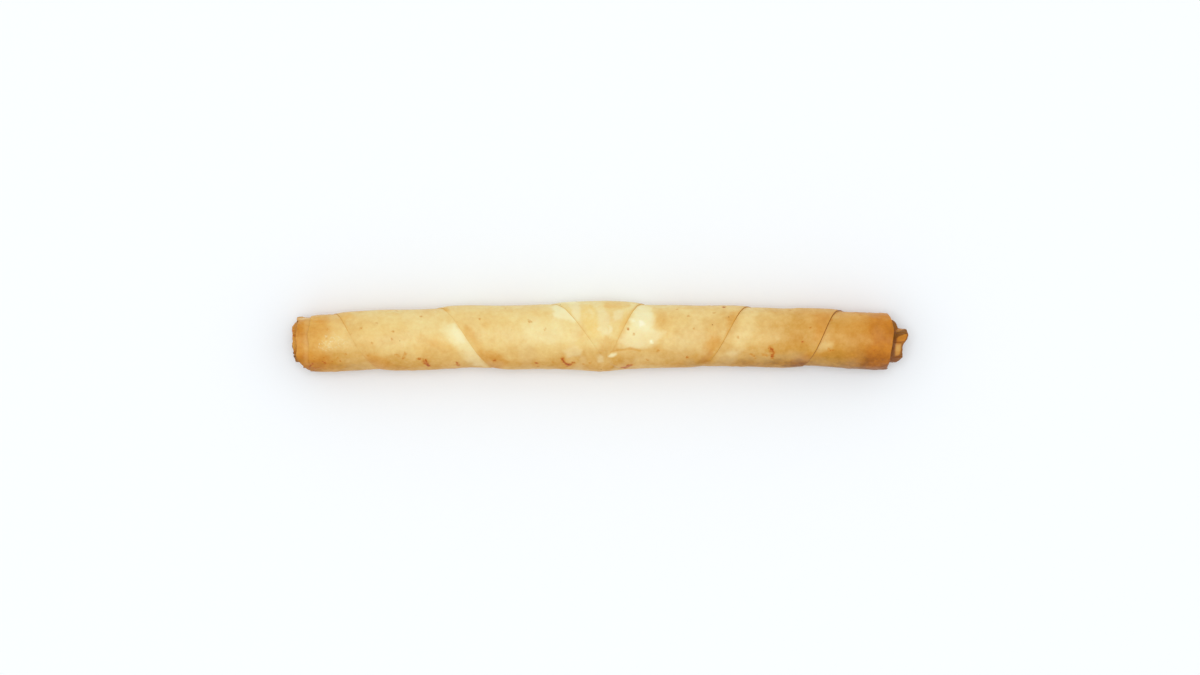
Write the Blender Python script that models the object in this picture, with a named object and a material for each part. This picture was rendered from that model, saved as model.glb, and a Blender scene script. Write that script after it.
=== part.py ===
"""Cigar borek: a three-cornered sheet of thin pastry, rolled up from its wide base to its tip.

The sheet is one long ribbon that winds round the roll. A turn count runs along it: 0 at the tip,
which lies on the front of the roll, and rising inwards. Two edges of the sheet run from the tip
to the left and to the right, one turn further out along the roll with each turn further in, and
show as the slanting steps. Past the third turn the sheet reaches the roll's ends, where its inner
turns stick out. The roll lies along X with its visible side up (+Z) and its tip towards -Y.
"""

import math
from dataclasses import dataclass

import bmesh
import bpy
from mathutils import Vector

MM = 0.001
FULL_TURN = 2 * math.pi

# The sheet and how it winds
SHEET = 0.65 * MM  # thickness of one baked turn
OUTER_RADIUS = 10.3 * MM  # of the last turn, beside the tip
HEIGHT_SHARE = 0.94  # the roll sagged a little while it baked
TIP_X = 1.8 * MM
TIP_ANGLE = math.radians(-47)  # from straight up, towards the front
TIP_TAPER = 0.09  # turns over which the tip thins out to nothing
UNDER_TURN = (math.pi - TIP_ANGLE) / FULL_TURN  # the turn that lies right underneath
EDGE_BEVEL = 0.12 * MM

# The turns, counted inwards from the tip
TURNS = 9
END_FROM = 2.0  # the slanting edge may run into the roll's end from here
END_BY = 3.2  # and has done so by here
NEAR_END = 1.5 * MM  # the slanting edge gives way this close to the end
WALL_END = 5.6  # the core roll starts here
CORE_BLEND = 0.4  # turns over which the wall gives way to the core
CORE_GAP = 1.0 * MM  # between the outer wall of turns and the core roll
LEAF_GAP = 0.22 * MM  # between two turns where they open at the ends
GROOVE = 2.4 * MM  # how far the eye looks in between two turns at the ends
GROOVE_FROM = 2.55  # the turns begin to open here
GROOVE_BLEND = 0.2

# Uneven baking
SWELLING = 0.75 * MM  # the tip puffed up
SWELLING_X = 0.6 * MM
SWELLING_ANGLE = math.radians(-84)
SWELLING_LENGTH = 6 * MM
SWELLING_SPREAD = math.radians(30)
WAVE = 0.09 * MM  # long shallow waves all over
WAVE_LENGTHS = (5.3 * MM, 8.9 * MM)

# The plug of crumpled sheet that closes the middle of each end
PLUG_BULGE = 0.8 * MM
PLUG_CREASE = 0.3 * MM
PLUG_CREASES = 3
PLUG_RINGS = 3

# Where the roll rests
PRESSED = 0.55 * MM  # cut off flat underneath
UNDER_TAPER = 0.0145  # the underside's rise towards the ends, that the axis sinks to meet

# The axis and the girth, read at a few stations along the roll: x, then the value there
BOW = [(-90, -2.15), (-60, -1.05), (-38, -0.3), (0, 0.2), (30, 0.0), (60, -0.35), (90, -1.55)]
GIRTH = [(-90, 0.36), (-60, 0.25), (-24, 0.05), (0, 0.35), (24, -0.2), (54, 0.0), (90, 0.35)]

# Mesh density
ROWS = 34  # strips to a turn
LONG_POINTS = 5  # along a turn that shows on the outside
SHORT_POINTS = 2  # along a turn inside the wall
LONG_LAYERS = 4

# Cleaning up
MERGE = 0.004 * MM
SLIVER = 0.002 * MM
SHARP = math.radians(40)


def smooth(share):
    """0 below 0, 1 above 1, and an even curve between."""
    share = min(1.0, max(0.0, share))
    return share * share * (3 - 2 * share)


def at_station(stations, x):
    """The value at x of a smooth curve through the stations, in metres."""
    x = x / MM
    if x <= stations[0][0]:
        return stations[0][1] * MM
    for (x0, value0), (x1, value1) in zip(stations, stations[1:]):
        if x <= x1:
            return (value0 + (value1 - value0) * smooth((x - x0) / (x1 - x0))) * MM
    return stations[-1][1] * MM


def around(turn):
    """The angle from straight up, towards the back, at this turn of the sheet."""
    return TIP_ANGLE + FULL_TURN * turn


def core_share(turn):
    """0 in the outer wall of turns and 1 in the core roll."""
    return smooth((turn - WALL_END) / CORE_BLEND)


def leaf_radius(turn):
    """Outer radius of the sheet at this turn, before the girth is added."""
    under = OUTER_RADIUS - SHEET * (turn + 1) - CORE_GAP * core_share(turn)
    return under + SHEET * smooth(turn / TIP_TAPER)


@dataclass(frozen=True)
class Wave:
    """A wave that runs round the roll."""

    height: float
    peak: float  # degrees from straight up, towards the back, of one of its peaks
    count: float = 1  # waves to a turn

    def at(self, turn):
        return self.height * math.cos(self.count * (around(turn) - math.radians(self.peak)))


@dataclass(frozen=True)
class Side:
    """One half of the sheet, from the tip to one end of the roll.

    A reach is a distance along the roll, outwards from the tip.
    """

    sign: int  # -1 on the left, 1 on the right
    pitch: float  # how far the sheet's edge moves out in its first turn
    taper: float  # how much less it moves in each further turn
    swings: tuple  # of the slanting edge
    wall_reach: float  # to the end of the outermost turn there
    wall_waves: tuple  # of the end edge of the wall's turns
    steps: tuple  # (turn, width, by how much the sheet sticks out further from there)
    core_reach: float
    core_waves: tuple
    core_shift: tuple  # (y, z) of the core roll in the wall

    def slant_reach(self, turn):
        """To the slanting edge of the sheet."""
        swung = sum(wave.at(turn) - wave.at(0) for wave in self.swings)
        return max(0.0, self.pitch * turn - self.taper * turn * turn + swung * smooth(2 * turn))

    def end_reach(self, turn):
        """To the end edge of the sheet, where the sheet is as wide as the roll is long."""
        wall = self.wall_reach + sum(wave.at(turn) for wave in self.wall_waves)
        for start, width, more in self.steps:
            wall += more * smooth((turn - start) / width)
        core = self.core_reach + sum(wave.at(turn) for wave in self.core_waves)
        return wall + (core - wall) * core_share(turn)

    def is_at_end(self, turn):
        """Whether the sheet's edge has run into the roll's end at this turn."""
        if turn > END_BY:
            return True
        return turn > END_FROM and self.slant_reach(turn) > self.end_reach(turn) - NEAR_END

    def edge_reach(self, turn):
        """To the sheet's edge, the slanting one or the one at the roll's end."""
        return self.end_reach(turn) if self.is_at_end(turn) else self.slant_reach(turn)

    def groove_depth(self, turn):
        """How deep the gap under the sheet's edge is at this turn."""
        if not self.is_at_end(turn):
            return 0.0
        stands_out = self.edge_reach(turn) - self.edge_reach(turn + 1)
        return GROOVE * smooth((turn - GROOVE_FROM) / GROOVE_BLEND) + max(0.0, stands_out)


LEFT = Side(
    sign=-1,
    pitch=43.0 * MM,
    taper=3.73 * MM,
    swings=(Wave(1.05 * MM, peak=24), Wave(1.4 * MM, peak=24, count=0.5)),
    wall_reach=88.8 * MM,
    wall_waves=(Wave(0.3 * MM, peak=0, count=2), Wave(0.16 * MM, peak=20, count=7)),
    steps=((3.87, 0.18, 3.7 * MM), (4.60, 0.25, -1.8 * MM)),
    core_reach=93.6 * MM,
    core_waves=(Wave(0.3 * MM, peak=35, count=2), Wave(0.2 * MM, peak=50, count=5)),
    core_shift=(0.7 * MM, -0.25 * MM),
)
RIGHT = Side(
    sign=1,
    pitch=32.8 * MM,
    taper=1.07 * MM,
    swings=(Wave(0.85 * MM, peak=-27), Wave(0.65 * MM, peak=-234, count=0.5)),
    wall_reach=85.3 * MM,
    wall_waves=(Wave(1.0 * MM, peak=10, count=2),),
    steps=((3.38, 0.05, -0.8 * MM), (4.19, 0.06, 1.4 * MM), (5.1, 0.5, -1.5 * MM)),
    core_reach=89.1 * MM,
    core_waves=(Wave(1.35 * MM, peak=75), Wave(0.15 * MM, peak=10, count=4)),
    core_shift=(-0.9 * MM, -0.2 * MM),
)


def lumps(x, angle):
    """Outward unevenness of the roll: the swollen tip, and long waves in the sheet."""
    off = (angle - SWELLING_ANGLE + math.pi) % FULL_TURN - math.pi
    along = (x - SWELLING_X) / SWELLING_LENGTH
    swollen = math.exp(-(along**2) - (off / SWELLING_SPREAD) ** 2)
    first, second = WAVE_LENGTHS
    waves = math.sin(x / first + 2 * angle) * math.sin(x / second - angle + 1)
    return SWELLING * swollen + WAVE * waves


def placed(side, turn, x, radius):
    """The point at this turn of the sheet, at x along the roll and this far from its axis."""
    angle = around(turn)
    girth = at_station(GIRTH, x)
    shift_y, shift_z = side.core_shift
    y = at_station(BOW, x) + shift_y * core_share(turn)
    under = leaf_radius(UNDER_TURN) - UNDER_TAPER * abs(x) + girth
    z = HEIGHT_SHARE * under - PRESSED + shift_z * core_share(turn)
    across = Vector((0, math.sin(angle), HEIGHT_SHARE * math.cos(angle)))
    return Vector((x, y, z)) + (radius + girth + lumps(x, angle)) * across


def strip_points(side, turn, count, start_x):
    """One strip across the sheet: out along its face, round its edge and back under it."""
    edge_x = TIP_X + side.sign * side.edge_reach(turn)
    groove = side.groove_depth(turn)
    groove_x = edge_x - side.sign * groove
    outside = leaf_radius(turn)
    beneath = leaf_radius(turn + 1)
    inside = beneath + LEAF_GAP * smooth(groove / GROOVE)
    bevel = min(EDGE_BEVEL, 0.5 * (outside - inside), abs(edge_x - start_x))
    face_end = edge_x - side.sign * bevel
    section = [
        (start_x + (face_end - start_x) * k / count, outside) for k in range(1, count + 1)
    ]
    section.append((edge_x, outside - bevel))
    section.append((edge_x, inside))
    section.append((groove_x, inside))
    section.append((groove_x, beneath))
    return [placed(side, turn, x, radius) for x, radius in section], groove_x


class Weave:
    """The roll's surface, built strip by strip along the winding sheet."""

    def __init__(self):
        self.mesh = bmesh.new()
        self.middle = [self.corner(self.middle_point(row)) for row in range(ROWS)]

    def corner(self, point):
        return self.mesh.verts.new(point)

    @staticmethod
    def middle_point(row):
        turn = row / ROWS
        return placed(LEFT, turn, TIP_X, leaf_radius(turn))

    def face(self, corners):
        corners = list(dict.fromkeys(corners))
        if len(corners) > 2:
            self.mesh.faces.new(corners)

    def stitch(self, first, second):
        """Joins two strips, which may differ in how many corners they have."""
        i, j = 0, 0
        while i < len(first) - 1 or j < len(second) - 1:
            next_i = (i + 1) / max(1, len(first) - 1)
            next_j = (j + 1) / max(1, len(second) - 1)
            if abs(next_i - next_j) < 1e-9:
                self.face([first[i], first[i + 1], second[j + 1], second[j]])
                i, j = i + 1, j + 1
            elif j == len(second) - 1 or (i < len(first) - 1 and next_i < next_j):
                self.face([first[i], first[i + 1], second[j]])
                i += 1
            else:
                self.face([first[i], second[j + 1], second[j]])
                j += 1

    def wind(self, side):
        """Winds one half of the sheet from its tip to the core, and closes the end of the core."""
        face_parts, edge_parts, ends, ends_x = [], [], [], []
        for strip in range(TURNS * ROWS):
            turn = strip / ROWS
            layer = strip // ROWS
            start = ends[strip - ROWS] if layer else self.middle[strip]
            start_x = ends_x[strip - ROWS] if layer else TIP_X
            count = LONG_POINTS if layer < LONG_LAYERS else SHORT_POINTS
            points, groove_x = strip_points(side, turn, count, start_x)
            if strip == 0:
                corners = [start] * len(points)
            else:
                corners = [self.corner(point) for point in points]
            face_parts.append([start, *corners[:count]])
            edge_parts.append(corners[count - 1 :])
            ends.append(corners[-1])
            ends_x.append(groove_x)
        last = ends[-ROWS]
        face_parts.append([last, last])
        edge_parts.append([last, last])
        for strip in range(TURNS * ROWS):
            self.stitch(face_parts[strip], face_parts[strip + 1])
            self.stitch(edge_parts[strip], edge_parts[strip + 1])
        self.plug(side, ends[-ROWS:])

    def plug(self, side, rim):
        """Closes the core with a folded-in plug that bulges a little and is creased."""
        centre = sum((corner.co for corner in rim), Vector()) / len(rim)
        ring = rim
        for k in range(1, PLUG_RINGS):
            share = k / PLUG_RINGS
            bulge = PLUG_BULGE * math.sin(share * math.pi / 2)
            inner = []
            for n, corner in enumerate(rim):
                crease = PLUG_CREASE * share * math.sin(PLUG_CREASES * FULL_TURN * n / len(rim))
                out = Vector((side.sign * (bulge + crease), 0, 0))
                inner.append(self.corner(corner.co.lerp(centre, share) + out))
            for n, corner in enumerate(ring):
                after = (n + 1) % len(ring)
                self.face([corner, ring[after], inner[after], inner[n]])
            ring = inner
        middle = self.corner(centre + Vector((side.sign * PLUG_BULGE, 0, 0)))
        for n, corner in enumerate(ring):
            self.face([corner, ring[(n + 1) % len(ring)], middle])

    def finished(self, name):
        bmesh.ops.remove_doubles(self.mesh, verts=self.mesh.verts, dist=MERGE)
        bmesh.ops.dissolve_degenerate(self.mesh, edges=self.mesh.edges, dist=SLIVER)
        bmesh.ops.recalc_face_normals(self.mesh, faces=self.mesh.faces)
        made = bpy.data.meshes.new(name)
        self.mesh.to_mesh(made)
        self.mesh.free()
        return made


def clear_scene():
    for obj in list(bpy.data.objects):
        bpy.data.objects.remove(obj)


def baked_pastry():
    """Thin oiled pastry, baked pale gold."""
    material = bpy.data.materials.new("baked_pastry")
    material.use_nodes = True
    shader = material.node_tree.nodes["Principled BSDF"]
    shader.inputs["Base Color"].default_value = (0.76, 0.54, 0.22, 1)
    shader.inputs["Roughness"].default_value = 0.42
    shader.inputs["Metallic"].default_value = 0.0
    return material


def table_cutter(length, width):
    """A block whose top is the surface that the roll rests on."""
    depth = 10 * MM
    bpy.ops.mesh.primitive_cube_add(size=1, location=(0, 0, -depth / 2))
    cutter = bpy.context.object
    cutter.name = "table_cutter"
    cutter.dimensions = (length, width, depth)
    cutter.hide_render = True
    cutter.display_type = "WIRE"
    return cutter


def centred(mesh):
    """Moves the mesh so that the middle of its length and width is on the origin."""
    xs = [vertex.co.x for vertex in mesh.vertices]
    ys = [vertex.co.y for vertex in mesh.vertices]
    middle = Vector(((min(xs) + max(xs)) / 2, (min(ys) + max(ys)) / 2, 0))
    for vertex in mesh.vertices:
        vertex.co -= middle


def rolled_pastry():
    weave = Weave()
    for side in (LEFT, RIGHT):
        weave.wind(side)
    mesh = weave.finished("rolled_pastry")
    centred(mesh)
    roll = bpy.data.objects.new("rolled_pastry", mesh)
    bpy.context.scene.collection.objects.link(roll)
    mesh.materials.append(baked_pastry())
    flat = roll.modifiers.new("resting_face", "BOOLEAN")
    flat.operation = "DIFFERENCE"
    flat.object = table_cutter(length=0.3, width=0.1)
    mesh.shade_smooth()
    mesh.set_sharp_from_angle(angle=SHARP)
    return roll


clear_scene()
rolled_pastry()
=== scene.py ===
"""Cigar borek, dressed: a roll of thin oiled pastry, pale in the middle and brown at the ends.

The roll is wound strip by strip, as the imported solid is, from one long sheet whose turn count is 0
at the sheet's tip and rises inwards. On that fine mesh lie the blisters, the crumpled tip and the
ragged ends, and attributes that say how brown, how amber and how starchy each point baked.
"""

import logging
import math
from dataclasses import dataclass, field
from enum import Enum

import bmesh
import bpy
import numpy as np
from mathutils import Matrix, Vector, noise

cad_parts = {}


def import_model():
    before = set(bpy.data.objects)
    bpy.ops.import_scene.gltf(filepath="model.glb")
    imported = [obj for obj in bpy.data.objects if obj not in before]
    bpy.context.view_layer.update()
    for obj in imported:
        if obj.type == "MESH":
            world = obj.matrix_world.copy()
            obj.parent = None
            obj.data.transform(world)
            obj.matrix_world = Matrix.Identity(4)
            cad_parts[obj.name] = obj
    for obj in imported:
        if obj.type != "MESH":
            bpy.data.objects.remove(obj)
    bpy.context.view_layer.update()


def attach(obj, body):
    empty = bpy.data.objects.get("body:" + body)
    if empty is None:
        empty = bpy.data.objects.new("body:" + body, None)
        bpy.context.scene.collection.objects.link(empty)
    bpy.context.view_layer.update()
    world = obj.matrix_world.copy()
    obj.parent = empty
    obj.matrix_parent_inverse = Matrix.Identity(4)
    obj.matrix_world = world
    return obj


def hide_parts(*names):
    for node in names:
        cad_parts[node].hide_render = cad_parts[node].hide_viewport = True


LOG = logging.getLogger("cigar_borek")
MM = 0.001
FULL_TURN = 2 * math.pi
ROUND = 10.0  # arcs round the roll are millimetres on a circle of this radius
CORE_SHEET = 5  # every turn from this one inwards counts as the core
STEEPEST = 0.98  # of the radius: places further out count as this far
NODE = "rolled_pastry"


def linear(code: str) -> tuple[float, float, float, float]:
    """Turns an sRGB hex colour to linear light.

    Args:
        code: six hex digits.

    Returns:
        Red, green, blue and an alpha of 1.
    """
    shares = [int(code[k : k + 2], 16) / 255 for k in (0, 2, 4)]
    light = [v / 12.92 if v <= 0.04045 else ((v + 0.055) / 1.055) ** 2.4 for v in shares]
    return (*light, 1.0)


def smooth(share: np.ndarray | float) -> np.ndarray:
    """Gives 0 below 0, 1 above 1, and an even curve between."""
    share = np.clip(share, 0.0, 1.0)
    return share * share * (3 - 2 * share)


def rise(value: np.ndarray, start: float, width: float) -> np.ndarray:
    """Gives 0 up to the start, 1 from the width further on, and an even curve between."""
    return smooth((value - start) / width)


def away(
    x: np.ndarray, arc: np.ndarray, start: tuple[float, float], end: tuple[float, float]
) -> np.ndarray:
    """Measures how far points are from a straight line.

    Args:
        x: the points' places along the roll.
        arc: their places round it.
        start: one end of the line.
        end: its other end, which may be the same place.

    Returns:
        The distances.
    """
    run_x, run_arc = end[0] - start[0], end[1] - start[1]
    run = max(1e-9, run_x**2 + run_arc**2)
    share = np.clip(((x - start[0]) * run_x + (arc - start[1]) * run_arc) / run, 0, 1)
    return np.hypot(x - start[0] - share * run_x, arc - start[1] - share * run_arc)


def add_node(
    tree: bpy.types.NodeTree, kind: str, inputs: dict | None = None, **settings: object
) -> bpy.types.Node:
    """Adds a node with its settings and links.

    Args:
        tree: the node tree to add it to.
        kind: the node's type name.
        inputs: a value, or another node's output, for each of its inputs by name or number.
        settings: the node's own properties.

    Returns:
        The new node.
    """
    node = tree.nodes.new(kind)
    for name, value in settings.items():
        setattr(node, name, value)
    for key, value in (inputs or {}).items():
        if isinstance(value, bpy.types.NodeSocket):
            tree.links.new(value, node.inputs[key])
        else:
            node.inputs[key].default_value = value
    return node


class Hand(Enum):
    """Which way from the tip a half of the sheet runs."""

    LEFT = -1
    RIGHT = 1


@dataclass(frozen=True)
class Stations:
    """A smooth curve through a few stations, each a place and the value there."""

    points: tuple[tuple[float, float], ...]

    def at(self, places: np.ndarray) -> np.ndarray:
        """Reads the curve at these places.

        Args:
            places: where to read it.

        Returns:
            The value at each place.
        """
        stops, values = np.array(self.points).T
        places = np.clip(places, stops[0], stops[-1])
        k = np.clip(np.searchsorted(stops, places, side="right") - 1, 0, len(stops) - 2)
        share = smooth((places - stops[k]) / (stops[k + 1] - stops[k]))
        return values[k] + (values[k + 1] - values[k]) * share


@dataclass(frozen=True)
class Winding:
    """How the sheet winds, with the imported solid's own sizes in metres, turns and shares."""

    sheet: float = 0.65 * MM  # its thickness, with the air between the turns
    outer_radius: float = 10.3 * MM
    height_share: float = 0.94  # of the width: a baked roll sags
    tip_x: float = 1.8 * MM
    tip_angle: float = math.radians(-47)  # from straight up, so the tip is on the front
    tip_taper: float = 0.09  # turns over which the tip comes to full thickness
    turns: int = 9
    end_from: float = 2.0  # the edge may meet the roll's end from this turn on
    end_by: float = 3.2  # and has met it by this one
    near_end: float = 1.5 * MM
    wall_end: float = 5.6  # the turn past which the core roll starts
    core_blend: float = 0.4
    core_gap: float = 1.0 * MM
    leaf_gap: float = 0.22 * MM  # between the turns at the roll's ends
    groove: float = 2.4 * MM  # how deep that gap runs
    groove_from: float = 2.55
    groove_blend: float = 0.2
    pressed: float = 0.55 * MM  # flat underneath, where it lies
    under_taper: float = 0.0145
    swelling: float = 0.75 * MM
    swelling_x: float = 0.6 * MM
    swelling_angle: float = math.radians(-84)
    swelling_length: float = 6 * MM
    swelling_spread: float = math.radians(30)
    wave: float = 0.09 * MM
    wave_lengths: tuple[float, float] = (5.3 * MM, 8.9 * MM)
    wave_counts: tuple[int, int] = (2, -1)  # to a turn
    wave_shift: float = 1.0  # radians
    centre: tuple[float, float] = (0.027 * MM, -0.167 * MM)  # of its box, before it was centred
    bow: Stations = Stations(  # millimetres along, and millimetres towards the back
        ((-90, -2.15), (-60, -1.05), (-38, -0.3), (0, 0.2), (30, 0), (60, -0.35), (90, -1.55))
    )
    girth: Stations = Stations(  # and millimetres more in radius
        ((-90, 0.36), (-60, 0.25), (-24, 0.05), (0, 0.35), (24, -0.2), (54, 0), (90, 0.35))
    )

    def angle(self, turn: np.ndarray) -> np.ndarray:
        """Gives the angle from straight up, towards the back, at these turns."""
        return self.tip_angle + FULL_TURN * turn

    def core_share(self, turn: np.ndarray) -> np.ndarray:
        """Gives 0 in the outer wall of turns and 1 in the core roll."""
        return rise(turn, self.wall_end, self.core_blend)

    def radius(self, turn: np.ndarray) -> np.ndarray:
        """Gives the sheet's outer radius at these turns, before the girth is added."""
        under = self.outer_radius - self.sheet * (turn + 1) - self.core_gap * self.core_share(turn)
        return under + self.sheet * smooth(turn / self.tip_taper)

    def lumps(self, x: np.ndarray, angle: np.ndarray) -> np.ndarray:
        """Gives the solid's own unevenness: the swollen tip and long waves in the sheet.

        Args:
            x: places along the roll, in metres.
            angle: their angles from straight up.

        Returns:
            How far each stands up, in metres.
        """
        off = (angle - self.swelling_angle + math.pi) % FULL_TURN - math.pi
        along = (x - self.swelling_x) / self.swelling_length
        swollen = np.exp(-(along**2) - (off / self.swelling_spread) ** 2)
        pairs = zip(self.wave_lengths, self.wave_counts)
        first, second = (x / length + count * angle for length, count in pairs)
        waves = np.sin(first) * np.sin(second + self.wave_shift)
        return self.swelling * swollen + self.wave * waves


@dataclass(frozen=True)
class Wave:
    """A wave that runs round the roll."""

    height: float
    peak: float  # degrees from straight up, towards the back
    count: float = 1  # waves to a turn

    def at(self, angle: np.ndarray) -> np.ndarray:
        """Gives the wave's height at these angles."""
        return self.height * np.cos(self.count * (angle - math.radians(self.peak)))


@dataclass(frozen=True)
class Side:
    """One half of the sheet, from the tip to one end of the roll.

    A reach is a distance along the roll, outwards from the tip. Step, line and fray follow the
    sheet's edge by its turn: how far it stands above the turn beneath, in millimetres, how dark
    its browned line is, and how far it is frayed.
    """

    hand: Hand
    pitch: float
    taper: float
    swings: tuple[Wave, ...]
    wall_reach: float
    wall_waves: tuple[Wave, ...]
    steps: tuple[tuple[float, float, float], ...]  # a turn, how soon it is full, and more reach
    core_reach: float
    core_waves: tuple[Wave, ...]
    core_shift: tuple[float, float]  # how far the core roll lies off the axis, in y and z
    core_slack: float  # how much thinner it is
    step: Stations
    line: Stations
    fray: Stations
    swing_by: float = 0.5  # the turn at which the slanting edge has its full swings
    # how many notches to a turn, and their share of the fray
    notches: tuple[tuple[float, float], ...] = ((7.0, 0.5), (17.0, 0.33), (41.0, 0.17))
    notch_shift: float = 3.7  # keeps the two sides' notches apart

    def slant_reach(self, winding: Winding, turn: np.ndarray) -> np.ndarray:
        """Gives the reach of the slanting edge of the sheet.

        Args:
            winding: how the sheet winds.
            turn: the turns to read it at.

        Returns:
            The reach at each turn.
        """
        angle = winding.angle(turn)
        swung = sum(wave.at(angle) - wave.at(winding.tip_angle) for wave in self.swings)
        straight = self.pitch * turn - self.taper * turn * turn
        return np.maximum(0.0, straight + swung * smooth(turn / self.swing_by))

    def end_reach(self, winding: Winding, turn: np.ndarray) -> np.ndarray:
        """Gives the reach of the end edge, where the sheet is as wide as the roll is long.

        Args:
            winding: how the sheet winds.
            turn: the turns to read it at.

        Returns:
            The reach at each turn.
        """
        angle = winding.angle(turn)
        wall = self.wall_reach + sum(wave.at(angle) for wave in self.wall_waves)
        for start, width, more in self.steps:
            wall = wall + more * rise(turn, start, width)
        core = self.core_reach + sum(wave.at(angle) for wave in self.core_waves)
        return wall + (core - wall) * winding.core_share(turn) + self.frayed(turn)

    def frayed(self, turn: np.ndarray) -> np.ndarray:
        """Gives the ragged part of the end edge, as notches of a few sizes.

        Args:
            turn: the turns to read it at.

        Returns:
            How far the edge runs out or in at each turn, in metres.
        """
        ragged, shift = np.zeros_like(turn), self.notch_shift * self.hand.value
        for count, share in self.notches:
            places = [Vector((place * count, shift, count)) for place in turn]
            ragged += share * np.array([noise.noise(place) for place in places])
        return self.fray.at(turn) * MM * 2 * ragged  # the noise seldom passes a half

    def at_end(self, winding: Winding, turn: np.ndarray) -> np.ndarray:
        """Tells whether the sheet's edge has run into the roll's end at these turns.

        Args:
            winding: how the sheet winds.
            turn: the turns to look at.

        Returns:
            True where it has.
        """
        near = self.end_reach(winding, turn) - winding.near_end
        met = (turn > winding.end_from) & (self.slant_reach(winding, turn) > near)
        return (turn > winding.end_by) | met

    def edge_reach(self, winding: Winding, turn: np.ndarray) -> np.ndarray:
        """Gives the reach of the sheet's edge, the slanting one or the one at the end."""
        ends = self.at_end(winding, turn)
        return np.where(ends, self.end_reach(winding, turn), self.slant_reach(winding, turn))

    def groove_depth(self, winding: Winding, turn: np.ndarray) -> np.ndarray:
        """Gives how deep the gap under the sheet's edge is.

        Args:
            winding: how the sheet winds.
            turn: the turns to read it at.

        Returns:
            The depth at each turn, and 0 where there is no gap.
        """
        stands_out = self.edge_reach(winding, turn) - self.edge_reach(winding, turn + 1)
        opened = winding.groove * rise(turn, winding.groove_from, winding.groove_blend)
        return np.where(self.at_end(winding, turn), opened + np.maximum(0.0, stands_out), 0.0)


LEFT = Side(
    hand=Hand.LEFT,
    pitch=43.0 * MM,
    taper=3.73 * MM,
    swings=(Wave(1.05 * MM, peak=24), Wave(1.4 * MM, peak=24, count=0.5)),
    wall_reach=88.8 * MM,
    wall_waves=(Wave(0.3 * MM, peak=0, count=2), Wave(0.16 * MM, peak=20, count=7)),
    steps=((3.87, 0.18, 3.7 * MM), (4.3, 0.06, 0.8 * MM), (4.60, 0.25, -2.6 * MM)),
    core_reach=93.6 * MM,
    core_waves=(Wave(0.3 * MM, peak=35, count=2), Wave(0.2 * MM, peak=50, count=5)),
    core_shift=(0.7 * MM, -0.25 * MM),
    core_slack=0.0,
    step=Stations(
        ((0, 0.05), (0.3, 0.1), (0.93, 0.22), (1.1, 0.08), (1.8, 0.35), (1.93, 0.28), (2.05, 0.06),
         (2.15, 0.06), (2.3, 0.2), (2.9, 0.11), (3.24, 0.15), (3.38, 0.5), (4, 0.4))
    ),
    line=Stations(
        ((0, 0.1), (0.2, 0.35), (0.33, 0.4), (0.9, 0.15), (1.03, 0.3), (1.15, 0.1), (1.28, 0.1),
         (1.34, 0.5), (1.5, 0.2), (2.15, 0.05), (2.22, 0.5), (2.4, 0.6), (2.7, 0.1), (3.5, 0.1),
         (3.9, 0.3), (4.5, 0.35), (5.2, 0.5))
    ),
    fray=Stations(((2.5, 0.1), (3.5, 0.15), (4.0, 0.3), (5.0, 0.45), (6.0, 0.6))),
)
RIGHT = Side(
    hand=Hand.RIGHT,
    pitch=32.8 * MM,
    taper=1.07 * MM,
    swings=(Wave(0.85 * MM, peak=-27), Wave(0.65 * MM, peak=-234, count=0.5)),
    wall_reach=85.3 * MM,
    wall_waves=(Wave(1.0 * MM, peak=10, count=2),),
    steps=(
        (2.99, 0.09, -0.5 * MM),
        (3.13, 0.08, 0.5 * MM),
        (3.38, 0.05, -0.8 * MM),
        (4.17, 0.05, 2.1 * MM),
        (4.25, 0.06, -1.6 * MM),
        (5.1, 0.5, -1.1 * MM),
    ),
    core_reach=89.1 * MM,
    core_waves=(Wave(1.35 * MM, peak=75), Wave(0.45 * MM, peak=38, count=4)),
    core_shift=(-1.1 * MM, -0.2 * MM),
    core_slack=0.5 * MM,
    step=Stations(
        ((0, 0.08), (0.15, 0.18), (0.3, 0.26), (1, 0.25), (1.3, 0.3), (2, 0.36), (2.3, 0.44),
         (4, 0.5))
    ),
    line=Stations(
        ((0, 0.05), (0.12, 0.25), (0.22, 0.35), (0.33, 0.65), (0.9, 0.9), (1.03, 0.85),
         (1.18, 0.6), (1.27, 1), (1.9, 1.5), (2.4, 1.5), (2.9, 0.6), (3.2, 0.5), (3.5, 0.8),
         (4, 1.2))
    ),
    fray=Stations(((2.5, 0.06), (3.5, 0.1), (4.5, 0.15), (6.0, 0.25))),
)


@dataclass(frozen=True)
class Patch:
    """A patch of the baked sheet, outlined as it is seen from above unless it is wrapped.

    Args:
        outline: its corners, x and across in millimetres from the roll's own middle.
        brown, amber, cream: what it adds to how brown, amber and starchy the sheet is; a few patches
            use brown for painted shade and cream for painted glints and a painted highlight.
        bubbly: what it adds to how blistered the sheet's skin is.
        rise: how far it stands up, in millimetres.
        soft: millimetres over which its outline fades, to each side.
        sheet: the turn that it lies on, from 0 for the outermost to CORE_SHEET, or None for any.
        width: half the width of an open line, in millimetres, or None for a closed outline.
        wrapped: whether its corners are millimetres round the roll instead of across it.
    """

    outline: tuple[tuple[float, float], ...]
    brown: float = 0.0
    amber: float = 0.0
    cream: float = 0.0
    bubbly: float = 0.0
    rise: float = 0.0
    soft: float = 0.8
    sheet: int | None = None
    width: float | None = None
    wrapped: bool = False


@dataclass(frozen=True)
class Speck:
    """A burnt speck or a short streak of them, with points as seen from above in millimetres.

    The depth is how far inside itself a place counts as being at most: a low one stays faint.
    """

    points: tuple[tuple[float, float], ...]
    radius: float
    depth: float = 1.0


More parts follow.
